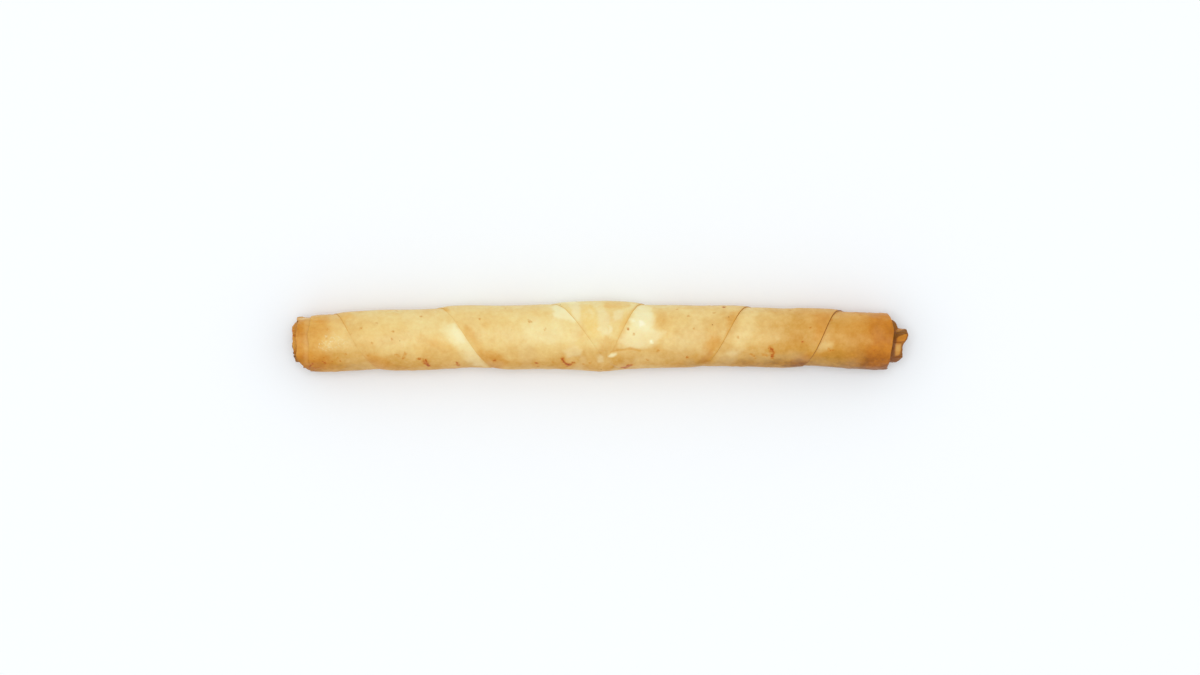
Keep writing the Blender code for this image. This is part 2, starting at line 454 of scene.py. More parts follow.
PATCHES = (
    # left, second turn and end
    # corner
    Patch(((-91.2, 6.7), (-87.3, 6.8), (-87.3, 5.5), (-89.1, 5.2), (-90.9, 5)), cream=0.36,
        brown=-0.12, amber=-0.3, soft=1.3, sheet=4),
    # fold
    Patch(((-88.3, 4.4), (-87.5, 5), (-87.5, -8.8), (-88.3, -8.2)), cream=0.08, brown=-0.06,
        soft=0.8, sheet=4),
    # orange end
    Patch(((-91.2, 5.6), (-86.4, 6.2), (-82.2, 5.6), (-80.7, 2.6), (-82.2, -1), (-85.8, -5.2),
        (-91.2, -4.6)), amber=0.4, brown=0.02, soft=1.8),
    # dab
    Patch(((-85.5, 4.6), (-84.3, 5.2), (-82.8, 4.7), (-84, 4.1)), brown=0.1, amber=0.2, soft=0.5,
        sheet=3),
    # bubbly
    Patch(((-85.2, -2.5), (-82.8, 0.2), (-79.5, 1.1), (-75.9, -0.1), (-74.4, -1.9), (-77.4, -3.7),
        (-81.6, -4.6)), brown=-0.05, amber=-0.02, bubbly=1.0, soft=1.3, sheet=3),
    # pale
    Patch(((-81, 5.9), (-78, 5.6), (-75, 1.4), (-77.4, -0.4), (-80.1, 1.1)), cream=0.06,
        brown=-0.05, amber=0.05, soft=1.4, sheet=3),
    # golden brown
    Patch(((-88.8, -4.9), (-84.6, -4.3), (-81, -6.4), (-81.6, -8.8), (-85.2, -11.2), (-89.4, -10)),
        amber=0.34, soft=1.8),
    # grey tan
    Patch(((-79.8, -4.9), (-75, -4), (-69.6, -4.6), (-68.4, -7.6), (-72, -10.6), (-79.2, -10.3)),
        brown=0.03, amber=-0.2, soft=1.6, sheet=3),
    # left, between the first and second steps
    # orange top
    Patch(((-78.9, 7.4), (-75, 7.7), (-73.2, 5.6), (-76.5, 4.7)), amber=0.35, soft=1.0, sheet=2),
    # gold
    Patch(((-70.8, -6.4), (-67.8, -5.2), (-63.3, -6.1), (-61.8, -8.2), (-64.8, -10.3),
        (-69, -10.3)), brown=0.05, amber=0.42, soft=1.3, sheet=2),
    # cream wedge
    Patch(((-46.2, 4.4), (-43.5, 4.1), (-40.2, -0.1), (-35.4, -5.8), (-33.9, -9.1), (-37.8, -8.8),
        (-41.4, -4.6), (-45, -1), (-46.8, 1.7)), cream=0.32, brown=-0.1, soft=1.4, sheet=2),
    # cream heart
    Patch(((-43.8, 3.5), (-42, 1.7), (-40.5, -1.3), (-42.6, -1.6), (-44.4, 0.8)), cream=0.4,
        bubbly=0.3, soft=0.8, sheet=2),
    # gold band
    Patch(((-51.6, -1), (-48.3, -0.4), (-45, -1.9), (-43.2, -4), (-46.8, -4.6), (-49.8, -3.1)),
        brown=0.02, amber=0.32, soft=1.2, sheet=2),
    # dab
    Patch(((-47.7, 9.2), (-45.9, 9.2), (-44.7, 7.7), (-45.6, 7.3), (-47.1, 8.3)), brown=0.08,
        amber=0.5, soft=0.5),
    # green pale
    Patch(((-59.4, 6.5), (-54, 7.7), (-48.6, 6.8), (-46.2, 2.6), (-50.4, 0.2), (-57, 0.8)),
        cream=0.1, brown=-0.05, soft=2.0, sheet=2),
    # amber strip
    Patch(((-63, -1.9), (-56.4, -1), (-51, -1.6), (-49.8, -4), (-57, -4.6), (-61.2, -4)),
        amber=0.12, soft=1.8, sheet=2),
    # left, between the second step and the tip
    # strip
    Patch(((-41.4, 4.4), (-39, 2.9), (-36, -1.6), (-33.6, -4.6), (-35.7, -5.2), (-39, -1)),
        brown=0.05, amber=0.3, soft=0.9, sheet=1),
    # gold
    Patch(((-36.3, -4.9), (-33, -4), (-29.4, -5.2), (-27.6, -7.6), (-30, -9.7), (-33.6, -9.4)),
        brown=0.08, amber=0.4, soft=1.2, sheet=1),
    # gold spot
    Patch(((-35.1, 3.5), (-33.9, 4.1), (-32.7, 3.5), (-33.6, 2.3), (-34.8, 2.6)), brown=0.03,
        amber=0.2, soft=0.8, sheet=1),
    # pale yellow
    Patch(((-23.4, 3.8), (-18.6, 5.6), (-12.6, 5), (-9.3, 2.6), (-10.8, -1), (-16.2, -1.9),
        (-22.2, -0.4)), cream=0.16, brown=-0.05, soft=1.8, sheet=1),
    # cream corner
    Patch(((-14.7, 8.9), (-13.2, 9.8), (-12, 9.2), (-6.6, 5.3), (-7.8, 4.7), (-11.4, 5.3),
        (-13.5, 5.9)), cream=0.6, brown=-0.1, soft=0.8, sheet=1),
    # smudge
    Patch(((-21.3, -2.5), (-18.9, -2.2), (-18.6, -4.3), (-21, -4.6)), brown=0.06, soft=0.9,
        sheet=1),
    # tan
    Patch(((-28.8, -1.9), (-24, -0.7), (-19.2, -1.9), (-19.8, -5.8), (-26.4, -6.1)), brown=0.05,
        soft=2.0, sheet=1),
    # pink
    Patch(((-8.1, 1.1), (-5.4, 2), (-3, -0.4), (-4.8, -1.9), (-7.2, -1.6)), brown=0.03, amber=0.1,
        bubbly=0.5, soft=0.9),
    # puff
    Patch(((-11.1, -4), (-9.6, -3.1), (-6.9, -2.8), (-5.1, -4), (-6, -5.5), (-9.6, -6.1)),
        cream=0.25, rise=0.25, soft=0.6),
    # tan under puff
    Patch(((-13.2, -2.8), (-10.8, -1.9), (-3, -2.8), (1.8, -4.6), (1.2, -7), (-6, -7),
        (-12, -6.1)), brown=0.1, soft=1.8),
    # the flap
    # cream a
    Patch(((-10.2, 10.4), (-8.4, 10.7), (-6.1, 10.1), (-5.8, 6.2), (-6.9, 5.2), (-7.8, 5.9)),
        cream=0.35, soft=0.6, sheet=0),
    # yellow
    Patch(((-5.4, 8.9), (-3, 9.8), (-1.2, 8.3), (-0.6, 4.4), (0, 0.2), (-1.8, -0.7), (-4.2, 2),
        (-5.7, 5.6)), brown=-0.12, amber=0.36, cream=-0.2, soft=1.0, sheet=0),
    # cream b
    Patch(((-0.9, 7.7), (0.6, 8.6), (2.4, 7.7), (3.3, 4.4), (2.4, 1.4), (0.6, 0.8), (-0.9, 2.6)),
        cream=0.38, bubbly=0.3, soft=0.9, sheet=0),
    # cream c
    Patch(((-4.5, 10.1), (-2.1, 10.4), (-1.5, 8.6), (-3.6, 7.7)), cream=0.12, soft=0.8, sheet=0),
    # top band
    Patch(((0.9, 10.1), (3.6, 10.7), (9, 10.4), (9, 9.2), (5.4, 8.2), (1.8, 8.6)), brown=0.06,
        amber=0.3, cream=-0.2, soft=0.8, sheet=0),
    # cream d
    Patch(((3.9, 7.7), (5.7, 8.3), (7.5, 7.7), (6, 4.7), (4.2, 4.4)), cream=0.4, bubbly=0.4,
        soft=0.8, sheet=0),
    # yellow strip
    Patch(((5.4, 2), (7.5, 5.6), (9.9, 8.6), (9.9, 7.1), (7.8, 3.2), (6, -0.1)), brown=-0.05,
        amber=0.4, cream=-0.3, soft=0.7, sheet=0),
    # tan tip
    Patch(((-0.9, -1), (1.5, -0.1), (4.8, -1.3), (5.1, -3.1), (3.3, -4.6), (0, -4.3)), brown=0.12,
        amber=0.12, cream=-0.4, soft=0.9),
    # painted glint: a pale spot
    Patch(((-1.1, 2.8), (0, 2.6), (-0.1, 1.7), (-0.9, 1.7)), cream=0.35, soft=0.3, sheet=0),
    # painted glint: a pale spot
    Patch(((2.9, 3.2), (3.9, 2.6), (3.6, 1.3), (3, 1.4)), cream=0.45, soft=0.35, sheet=0),
    # right of the flap
    # cream field
    Patch(((10.8, 9.2), (13.5, 10.1), (15.6, 8.9), (16.2, 5.6), (15.6, 2.9), (18.9, 1.4),
        (17.4, -1.3), (15, -2.8), (10.8, -3.7), (7.2, -3.1), (5.7, -1.3), (7.8, 2.3), (9, 5)),
        cream=0.4, brown=-0.1, soft=1.3, sheet=1),
    # cream heart
    Patch(((9.9, 6.5), (12.3, 7.7), (15, 7.4), (15.6, 4.7), (14.4, 2.3), (10.8, 2.3)), cream=0.3,
        bubbly=0.5, soft=1.3, sheet=1),
    # golden
    Patch(((16.5, 8), (18.6, 8.6), (20.1, 6.8), (19.8, 4.1), (17.7, 3.2)), brown=0.05, amber=0.16,
        cream=-0.2, soft=1.1, sheet=1),
    # pale yellow
    Patch(((18, 5.6), (25.2, 6.5), (30, 5.6), (31.2, 2), (27, 0.8), (19.2, 1.7)), brown=-0.05,
        soft=2.0, sheet=1),
    # painted glint: a pale spot
    Patch(((8.8, 5.3), (9.9, 5.5), (10.7, 4.6), (9.3, 4.1)), cream=0.4, soft=0.35, sheet=1),
    # painted glint: a pale spot
    Patch(((11.4, 5.2), (12.9, 5), (13.5, 3.8), (12, 3.2)), cream=0.35, soft=0.5, sheet=1),
    # painted glint: a pale spot
    Patch(((14.8, -1), (15.6, -1), (15.9, -2), (15, -1.9)), cream=0.6, soft=0.25, sheet=1),
    # tan
    Patch(((21.3, 1.7), (24, 2.6), (27, 1.4), (27, -1.3), (22.8, -1.9)), brown=0.04, soft=1.4,
        sheet=1),
    # orange
    Patch(((31.2, -1.9), (33.3, -0.1), (36, -0.1), (35.7, -2.5), (33.3, -4.9), (30.9, -4.6)),
        brown=0.05, amber=0.5, soft=1.0, sheet=1),
    # olive
    Patch(((30.6, -5.2), (33.3, -4), (33.3, -6.4), (31.8, -8.2), (29.7, -7.3)), brown=0.1,
        amber=0.35, soft=0.9, sheet=1),
    # tan front
    Patch(((18.6, -6.1), (24, -5.5), (30, -6.4), (31.2, -9.4), (27, -10.3), (19.2, -10)),
        brown=0.04, soft=1.6, sheet=1),
    # gold left of step
    Patch(((38.1, 5.6), (39.6, 7.4), (41.7, 7.7), (40.5, 4.4), (38.4, 1.1)), brown=0.05,
        amber=0.35, soft=0.8, sheet=1),
    # crumpled tip
    # fold pillow
    Patch(((2.4, -6.1), (3.9, -5), (6.6, -4.6), (9.6, -5), (10.8, -6.4), (9.3, -8.3), (6, -8.9),
        (3.3, -7.9)), brown=0.06, rise=0.35, soft=0.5),
    # pillow shade
    Patch(((6, -6.1), (10.2, -5.5), (9.9, -8.8), (6, -9.1)), brown=0.05, amber=0.1, soft=0.9),
    # pale puff
    Patch(((-1.2, -5.9), (0, -5.3), (1.2, -5.8), (1.2, -7.3), (-0.6, -7.6)), cream=0.3, rise=0.16,
        soft=0.5),
    # painted highlight on the pillow's rim
    Patch(((2.5, -5.9), (3.3, -5), (4.8, -4.7), (5.1, -5.2), (3.9, -5.8)), cream=0.7, brown=-0.05,
        soft=0.3),
    # right, between the steps
    # pale strip
    Patch(((42.6, 8), (45.6, 8.6), (47.1, 7.4), (45.9, 2), (43.2, -3.7), (40.8, -5.5),
        (38.4, -4.9), (40.2, -0.4)), cream=0.1, brown=-0.05, soft=1.4, sheet=2),
    # grey strip
    Patch(((34.8, -6.4), (38.1, -4), (41.4, -4.6), (40.8, -7.6), (37.8, -9.7), (33.6, -9.4)),
        cream=0.1, amber=-0.2, soft=1.1, sheet=2),
    # tan
    Patch(((47.4, 3.2), (50.4, 4.4), (53.4, 2.9), (52.2, -0.1), (48, -0.4)), brown=0.04, soft=1.3,
        sheet=2),
    # tan
    Patch(((55.2, 3.2), (58.8, 4.7), (62.1, 3.2), (62.4, -1.6), (58.8, -4.3), (56.1, -2.5)),
        brown=0.05, soft=1.6, sheet=2),
    # orange
    Patch(((64.5, 6.5), (67.8, 7.4), (70.5, 6.8), (68.7, 2.9), (66, -2.2), (63.6, -1)), brown=0.02,
        amber=0.42, soft=1.3, sheet=2),
    # orange front
    Patch(((57.3, -7), (60.3, -5.2), (63.3, -4.9), (61.8, -8.2), (59.7, -9.7), (57.3, -9.4)),
        brown=0.06, amber=0.5, soft=1.2, sheet=2),
    # right end
    # pink pale
    Patch(((65.4, -2.5), (67.2, -1.3), (69.3, -1.9), (68.4, -4), (65.4, -4.9)), cream=0.08,
        bubbly=0.5, brown=-0.1, amber=-0.2, soft=1.2, sheet=3),
    # light streak
    Patch(((75, 8), (79.8, 8.3), (80.4, 3.2), (79.2, -2.5), (75.6, -2.8)), brown=-0.05, soft=2.0,
        sheet=3),
    # orange end
    Patch(((81.3, 6.5), (85.2, 6.8), (87.9, 5.3), (87.9, -0.4), (83.4, -1.9), (81, 2)), amber=0.4,
        soft=1.8),
    # brown end
    Patch(((80.4, -4.6), (84, -1.9), (88.8, -1), (88.8, -10.3), (82.2, -10.6)), brown=-0.05,
        amber=0.7, soft=3.0),
    # grey front
    Patch(((66.6, -6.1), (72, -4.6), (73.8, -7.6), (70.2, -9.7), (65.4, -9.4)), brown=0.02,
        amber=-0.25, soft=1.4, sheet=3),
    # second turn
    Patch(((85.8, 6.2), (87.6, 6.2), (89.7, 2.9), (89.7, 0.8), (87.9, 1.4), (86.4, 4.4)),
        brown=0.42, amber=-0.4, soft=0.6, sheet=4),
    # blistered
    Patch(((-16.5, 2.6), (-12.9, 2.9), (-12, -0.4), (-13.2, -1.9), (-15.9, -1)), bubbly=0.8,
        soft=1.5, sheet=1),
    # blistered
    Patch(((68.7, 2.6), (72, 3.2), (72.6, -1.6), (69.6, -2.8)), bubbly=0.5, soft=1.2, sheet=3),
    # blistered
    Patch(((-5.4, 9.8), (0, 10.1), (0.6, 7.4), (-4.2, 6.8)), bubbly=0.5, soft=1.0, sheet=0),
    # broad tones
    # amber front
    Patch(((-83.4, -4), (-75, -4), (-74.4, -8.8), (-83.4, -8.8)), brown=0.03, amber=0.14, soft=2.5,
        sheet=3),
    # tan front
    Patch(((-64.8, -4), (-56.4, -4.6), (-56.4, -8.8), (-63.6, -8.8)), brown=0.06, amber=-0.1,
        soft=2.5, sheet=2),
    # tan front
    Patch(((-55.2, -4), (-50.4, -4.6), (-49.8, -8.8), (-55.2, -8.8)), brown=0.03, soft=2.5,
        sheet=2),
    # pale front
    Patch(((-75.6, -7), (-66.6, -7.6), (-66, -10.6), (-76.2, -10.9)), brown=-0.03, cream=0.1,
        soft=2.5),
    # tan middle
    Patch(((4.8, 1.4), (16.2, 0.8), (16.2, -4.6), (12, -4.6), (3, -4)), brown=0.13, soft=2.5,
        sheet=1),
    # tan top
    Patch(((-83.4, 6.2), (-76.2, 6.8), (-76.2, 4.4), (-82.8, 3.8)), brown=0.06, amber=0.1,
        soft=2.0, sheet=3),
    # tan top
    Patch(((-55.8, 9.5), (-48, 9.5), (-48, 5.6), (-55.8, 5)), brown=0.07, soft=2.5, sheet=2),
    # tan front
    Patch(((-25.5, -7.6), (6, -7.6), (6, -10.6), (-25.5, -10.6)), brown=0.05, soft=2.0),
    # tan middle
    Patch(((-28.8, -1.3), (-19.2, -1.3), (-18, -4.6), (-28.8, -4.9)), brown=0.05, soft=2.5,
        sheet=1),
    # pale front
    Patch(((7.2, -4.9), (27, -4.9), (27.6, -7.6), (7.2, -7.6)), brown=-0.02, cream=0.09,
        amber=-0.1, soft=2.2, sheet=1),
    # pale front
    Patch(((35.4, -4), (48, -4.6), (61.2, -4.6), (61.8, -7), (34.8, -7.3)), brown=0.02, cream=0.13,
        amber=-0.1, soft=2.2, sheet=2),
    # tan front
    Patch(((27, -7), (60, -7), (60, -11.2), (27, -11.2)), brown=0.06, soft=2.0),
    # tan top
    Patch(((34.8, 9.5), (63.6, 9.2), (62.4, 5.9), (36.6, 5.9)), brown=0.05, soft=3.0, sheet=2),
    # orange top
    Patch(((-90.9, 6.2), (-84.6, 6.2), (-84.6, 4.1), (-90.9, 4.1)), brown=-0.05, amber=0.1,
        soft=1.5),
    # pale middle
    Patch(((-66.6, 1.4), (-56.4, 0.8), (-56.4, -4), (-66, -3.4)), amber=-0.12, cream=0.06,
        soft=2.5, sheet=2),
    # pale middle
    Patch(((-29.4, 2.3), (-12, 2.3), (-12, -2.5), (-28.8, -2.5)), amber=-0.12, cream=0.06,
        soft=2.5, sheet=1),
    # pale middle
    Patch(((23.4, 3.8), (31.8, 3.8), (31.2, -4.9), (24, -4.9)), amber=-0.15, cream=0.1, soft=2.5,
        sheet=1),
    # pale low
    Patch(((-46.8, -5.8), (-39, -5.8), (-37.8, -10), (-46.8, -10.3)), brown=-0.05, soft=2.0,
        sheet=2),
    # amber end
    Patch(((81.6, -0.4), (88.8, 0.8), (88.8, -5.8), (82.2, -6.4)), brown=0.05, amber=0.25,
        soft=2.0, sheet=3),
    # pale low
    Patch(((61.8, -6.7), (76.8, -6.7), (77.4, -10.6), (61.8, -10.6)), brown=-0.04, cream=0.05,
        amber=-0.15, soft=2.0, sheet=3),
    # pale low
    Patch(((-58.2, -5.2), (-48, -5.2), (-48, -10.3), (-58.2, -10.3)), brown=-0.05, soft=2.0,
        sheet=2),
    # orange middle
    Patch(((-1.2, 8.6), (3.6, 8.6), (3.6, 2), (0, 2)), amber=0.05, soft=1.5, sheet=0),
    # right core
    # olive rim
    Patch(((87.6, 3.2), (92.7, 3.2), (92.7, 1.3), (87.9, 1.5)), brown=0.4, amber=-0.4, soft=0.35,
        sheet=5),
    # gold
    Patch(((88.8, 1), (92.4, 0.8), (91.5, -1.3), (89.1, -1.3)), brown=-0.2, amber=0.2, soft=0.4,
        sheet=5),
    # pink
    Patch(((88.2, -2.2), (90.5, -2.2), (90, -5.2), (88.2, -6.1)), brown=-0.28, amber=-0.2,
        cream=0.08, soft=0.9, sheet=5),
    # dark edge
    Patch(((90.3, -2.2), (91.5, -1.6), (90.9, -8.2), (87.9, -8.8), (89.7, -5.8)), brown=0.35,
        amber=-0.2, soft=0.5, sheet=5),
    # painted shadow in the crevice by the outer turn's end
    Patch(((87, 2), (88.6, 2), (88.6, -2.5), (88, -7.6), (86.4, -8.2)), brown=0.45, amber=-0.2,
        soft=0.45, sheet=5),
    # creases
    # over the pillow
    Patch(((3.3, -4.7), (5.1, -4.1), (9, -3.5), (12, -4.1)), brown=0.12, amber=0.3, cream=-0.3,
        rise=-0.16, width=0.25, soft=0.4),
    # under the pillow
    Patch(((2.7, -7.6), (4.8, -8.9), (6.6, -9.4)), brown=0.08, rise=-0.15, width=0.2, soft=0.4),
    # core fold
    Patch(((88.8, 1.1), (90.6, 1.2), (92.4, 1)), brown=0.3, rise=-0.25, width=0.1, soft=0.25,
        sheet=5),
    # core fold
    Patch(((88.2, -1.6), (90, -1.7), (91.2, -1.4)), brown=0.22, rise=-0.3, width=0.15, soft=0.3,
        sheet=5),
    # the back, in millimetres along and round the roll
    # starchy field
    Patch(((-14, 15), (-8, 13), (-1, 16), (-2, 22), (-9, 24), (-15, 20)), cream=0.4, brown=-0.06,
        soft=1.3, wrapped=True),
    # starchy field
    Patch(((5, 19), (12, 16), (16, 20), (15, 27), (8, 29), (4, 25)), cream=0.35, brown=-0.05,
        soft=1.4, wrapped=True),
    # starchy field
    Patch(((-46, 17), (-40, 15), (-37, 21), (-43, 25)), cream=0.3, brown=-0.04, soft=1.5,
        wrapped=True),
    # golden
    Patch(((20, 16), (26, 15), (27, 22), (21, 24)), brown=0.05, amber=0.25, soft=1.3,
        wrapped=True),
    # golden
    Patch(((-30, 18), (-24, 17), (-22, 24), (-29, 26)), brown=0.05, amber=0.3, soft=1.5,
        wrapped=True),
    # golden
    Patch(((38, 20), (45, 17), (47, 24), (41, 27)), brown=0.05, amber=0.3, soft=1.6, wrapped=True),
    # golden
    Patch(((-66, 19), (-58, 16), (-55, 22), (-62, 26)), brown=0.06, amber=0.3, soft=1.6,
        wrapped=True),
    # caramel
    Patch(((60, 16), (68, 15), (70, 23), (62, 26)), brown=0.06, amber=0.35, soft=2.0,
        wrapped=True),
    # caramel
    Patch(((-88, 17), (-80, 15), (-78, 24), (-87, 27)), brown=0.08, amber=0.3, soft=2.0,
        wrapped=True),
    # puff
    Patch(((-18, 20), (-12, 19), (-11, 23), (-17, 24)), rise=0.3, cream=0.12, soft=0.8,
        wrapped=True),
    # puff
    Patch(((28, 18), (33, 17), (34, 21), (29, 22)), rise=0.28, soft=0.8, wrapped=True),
    # puff
    Patch(((52, 21), (58, 20), (59, 24), (53, 25)), rise=0.25, soft=0.9, wrapped=True),
    # starchy front
    Patch(((-6, -24), (4, -22), (9, -26), (2, -29), (-7, -28)), cream=0.3, soft=1.5, wrapped=True),
    # puff
    Patch(((-35, -20), (-29, -19), (-28, -23), (-34, -24)), rise=0.28, soft=0.8, wrapped=True),
    # golden front
    Patch(((40, -20), (47, -19), (46, -25), (41, -26)), brown=0.05, amber=0.3, soft=1.6,
        wrapped=True),
)

# single specks: x and across, radius, depth
DOTS = (
    (-54.1, -6.5, 0.4, 0.08), (-52, -6.8, 0.26, 0.3), (-52.7, -7.6, 0.24, 0.25),
    (-43, -8.3, 0.2, 0), (-31.5, -7.1, 0.44, 0.3), (-18.5, -8.9, 0.22, 0.05),
    (-9.8, -8.2, 0.3, 1.0), (-9.6, -8.7, 0.3, 0), (7.6, -9.2, 0.6, 0.2), (26.1, -6.2, 0.36, 0.2),
    (37.2, 9, 0.5, 0.3), (8.4, 2.3, 0.16, -0.09), (10.2, 0.8, 0.12, -0.1),
    (17.4, -4.3, 0.18, -0.05), (13.8, -6.7, 0.12, -0.12), (14.5, -7, 0.1, -0.1),
    (-21.2, 4.8, 0.16, -0.09), (-20.7, 4.3, 0.1, -0.1), (-28.3, 8.6, 0.1, -0.15),
    (-35.9, 5.2, 0.14, -0.15), (-16.3, 2.2, 0.1, -0.15), (-14.1, -7.6, 0.16, -0.12),
    (-4.8, -8, 0.14, -0.15), (-2.9, -7.7, 0.14, -0.12), (23.2, 8.2, 0.12, -0.1),
    (26.6, 6.1, 0.1, -0.15), (28.1, 2.5, 0.1, -0.15), (34.1, 7.2, 0.14, -0.13),
    (41.4, -0.2, 0.12, -0.12), (46.5, -6.3, 0.18, -0.07), (49.9, -5.4, 0.15, -0.02),
    (60.6, -1.5, 0.25, 0.13), (59.4, -7.6, 0.25, 0.09), (68.3, -3.7, 0.15, 0.02),
    (82.1, -4.1, 0.21, 0.13), (69.5, 5, 0.23, 0.11), (78.2, 6.5, 0.17, 0.03),
    (82.5, 5.9, 0.15, 0.01), (57, 8, 0.16, -0.1), (63, 2.8, 0.15, 0.02), (-81.5, 2.2, 0.14, -0.1),
    (-81.6, -0.6, 0.14, -0.13), (-76, -5.2, 0.16, -0.1), (-77.7, -7.3, 0.22, 0.22),
    (-76.5, -9, 0.22, 0.22), (-80.2, -7.4, 0.22, 0.22), (-78.6, -8.8, 0.18, 0.22),
    (-84.5, -9.3, 0.24, 0.22), (-82.5, -6.2, 0.22, 0.22), (-61.8, 1.7, 0.12, -0.12),
    (-62.3, -0.7, 0.14, -0.12), (-66.8, 4.1, 0.16, -0.18), (-71.4, 2.6, 0.18, -0.2),
    (-69.4, -5.8, 0.14, -0.15), (-56.1, -8.6, 0.12, -0.15), (-61, 7.7, 0.14, -0.07),
    (-53.5, 6.1, 0.14, -0.12), (-68.1, -1.9, 0.12, -0.15), (-74.4, 1, 0.12, -0.1),
    (-83.8, -6.9, 0.2, 0.2), (-81.1, -8.5, 0.18, 0.2), (-78.5, -6.3, 0.14, 0.1),
    (-80.1, -9.6, 0.14, 0.15), (-87.4, -7.3, 0.2, 0.15),
)

STREAKS = (
    Speck(((-52.5, -6.9), (-52.1, -7.8)), 0.62, 0.02),
    Speck(((-51.7, -8), (-51.3, -8.7)), 0.4, 0.3),
    Speck(((-42.8, -7.6), (-42.3, -8.8)), 0.34, 0),
    Speck(((-19.1, -7.8), (-18.8, -8)), 0.34, 0.3),
    Speck(((-11.2, -6.4), (-10.8, -7.6), (-10, -8.1)), 0.38, 0.16),
    Speck(((-10, -8.1), (-9, -8.4)), 0.52, 0.2),
    Speck(((-9, -8.4), (-7.9, -7.6)), 0.36, 0.16),
    Speck(((6.7, -8.9), (7.9, -8.8), (9, -8.2)), 0.75, 0.1),
    Speck(((7.2, -8.9), (8.1, -8.8)), 0.22, 0.3),
    Speck(((50.9, -3.4), (51.7, -4.7)), 0.58, 0.06),
    Speck(((51.5, -5.4), (51.6, -6.4)), 0.34, 0.08),
    Speck(((-92, 2), (-91.8, -0.1)), 0.6, -0.08),
    Speck(((-91.6, 3.8), (-91.5, 2.6)), 0.4, -0.12),
    Speck(((-91.6, -4.6), (-91.2, -5.9)), 0.45, -0.1),
    Speck(((-88, -8.2), (-87, -9.4)), 0.3, 0),
    Speck(((45.2, -5.2), (46, -5.7)), 0.15, -0.07),
    Speck(((48.6, -5.2), (49.8, -5.6)), 0.14, -0.12),
    Speck(((68.7, -4.2), (69.8, -4)), 0.13, -0.01),
    Speck(((-83, -7.4), (-82, -8)), 0.26, 0.22),
    Speck(((-87.3, -9), (-86, -8.3)), 0.28, 0.22),
    Speck(((-61, -5.4), (-60, -5.7)), 0.1, -0.15),
    Speck(((-58.2, -4.9), (-58.8, -6.7)), 0.12, -0.1),
    Speck(((-85.8, -9.5), (-85.2, -9.8)), 0.22, 0.2),
)

SPECKS = (*STREAKS, *(Speck(((x, across),), *size) for x, across, *size in DOTS))


@dataclass
class Surface:
    """The points of the wound sheet, as its fields are read."""

    x: np.ndarray  # millimetres along the roll
    arc: np.ndarray  # millimetres round it, from straight up towards the back
    sheet: np.ndarray  # the turn that the point lies on, 0 for the outermost
    turn: np.ndarray
    from_edge: np.ndarray  # millimetres inwards from the sheet's own edge
    hand: np.ndarray
    underneath: np.ndarray  # whether the point is on the sheet's underside, in the gap
    # share, blotch size and shift of the two noises that roughen the patches' outlines
    roughening: tuple[tuple[float, float, float], ...] = ((0.8, 2.2, 5.0), (0.4, 0.9, 15.0))
    margin: float = 2.0  # millimetres round a patch that are looked at with it
    ragged: np.ndarray = field(init=False)

    def __post_init__(self) -> None:
        """Reads the noise that roughens the patches' outlines."""
        self.ragged = sum(
            share * self.mottle(size, shift) for share, size, shift in self.roughening
        )

    def mottle(self, size: float, shift: float) -> np.ndarray:
        """Reads smooth noise on the roll.

        Args:
            size: millimetres across one of its blotches.
            shift: moves the noise, so that fields differ.

        Returns:
            A value from about -1 to 1 at each point.
        """
        angle = self.arc / ROUND
        y, z = ROUND * np.sin(angle), ROUND * np.cos(angle)
        places = np.stack([self.x, y, z], 1) / size + shift
        return np.array([noise.noise(Vector(place)) for place in places])

    def weight(self, patch: Patch, corners: list[tuple[float, float]]) -> np.ndarray:
        """Tells how much of a patch each point has.

        Args:
            patch: the patch.
            corners: its outline, x and arc in millimetres.

        Returns:
            1 inside it and 0 outside.
        """
        weights = np.zeros_like(self.x)
        xs, arcs = np.array(corners).T
        room = 2 * patch.soft + self.margin
        near = (self.x > xs.min() - room) & (self.x < xs.max() + room)
        near &= (self.arc > arcs.min() - room) & (self.arc < arcs.max() + room)
        if patch.sheet is not None:
            near &= np.minimum(self.sheet, CORE_SHEET) == patch.sheet
        x, arc = self.x[near], self.arc[near]
        far, inside = np.full_like(x, np.inf), np.zeros(len(x), bool)
        closed = patch.width is None
        ends = corners[1:] + corners[:1] if closed else corners[1:]
        for (x0, a0), (x1, a1) in zip(corners, ends):
            far = np.minimum(far, away(x, arc, (x0, a0), (x1, a1)))
            if a0 != a1:
                crossing = x0 + (x1 - x0) * (arc - a0) / (a1 - a0)
                inside ^= ((a0 > arc) != (a1 > arc)) & (x < crossing)
        far = np.where(inside, -far, far) if closed else far - patch.width
        far = far + self.ragged[near] * min(1.0, patch.soft)
        weights[near] = smooth(0.5 - far / (2 * patch.soft))
        return weights


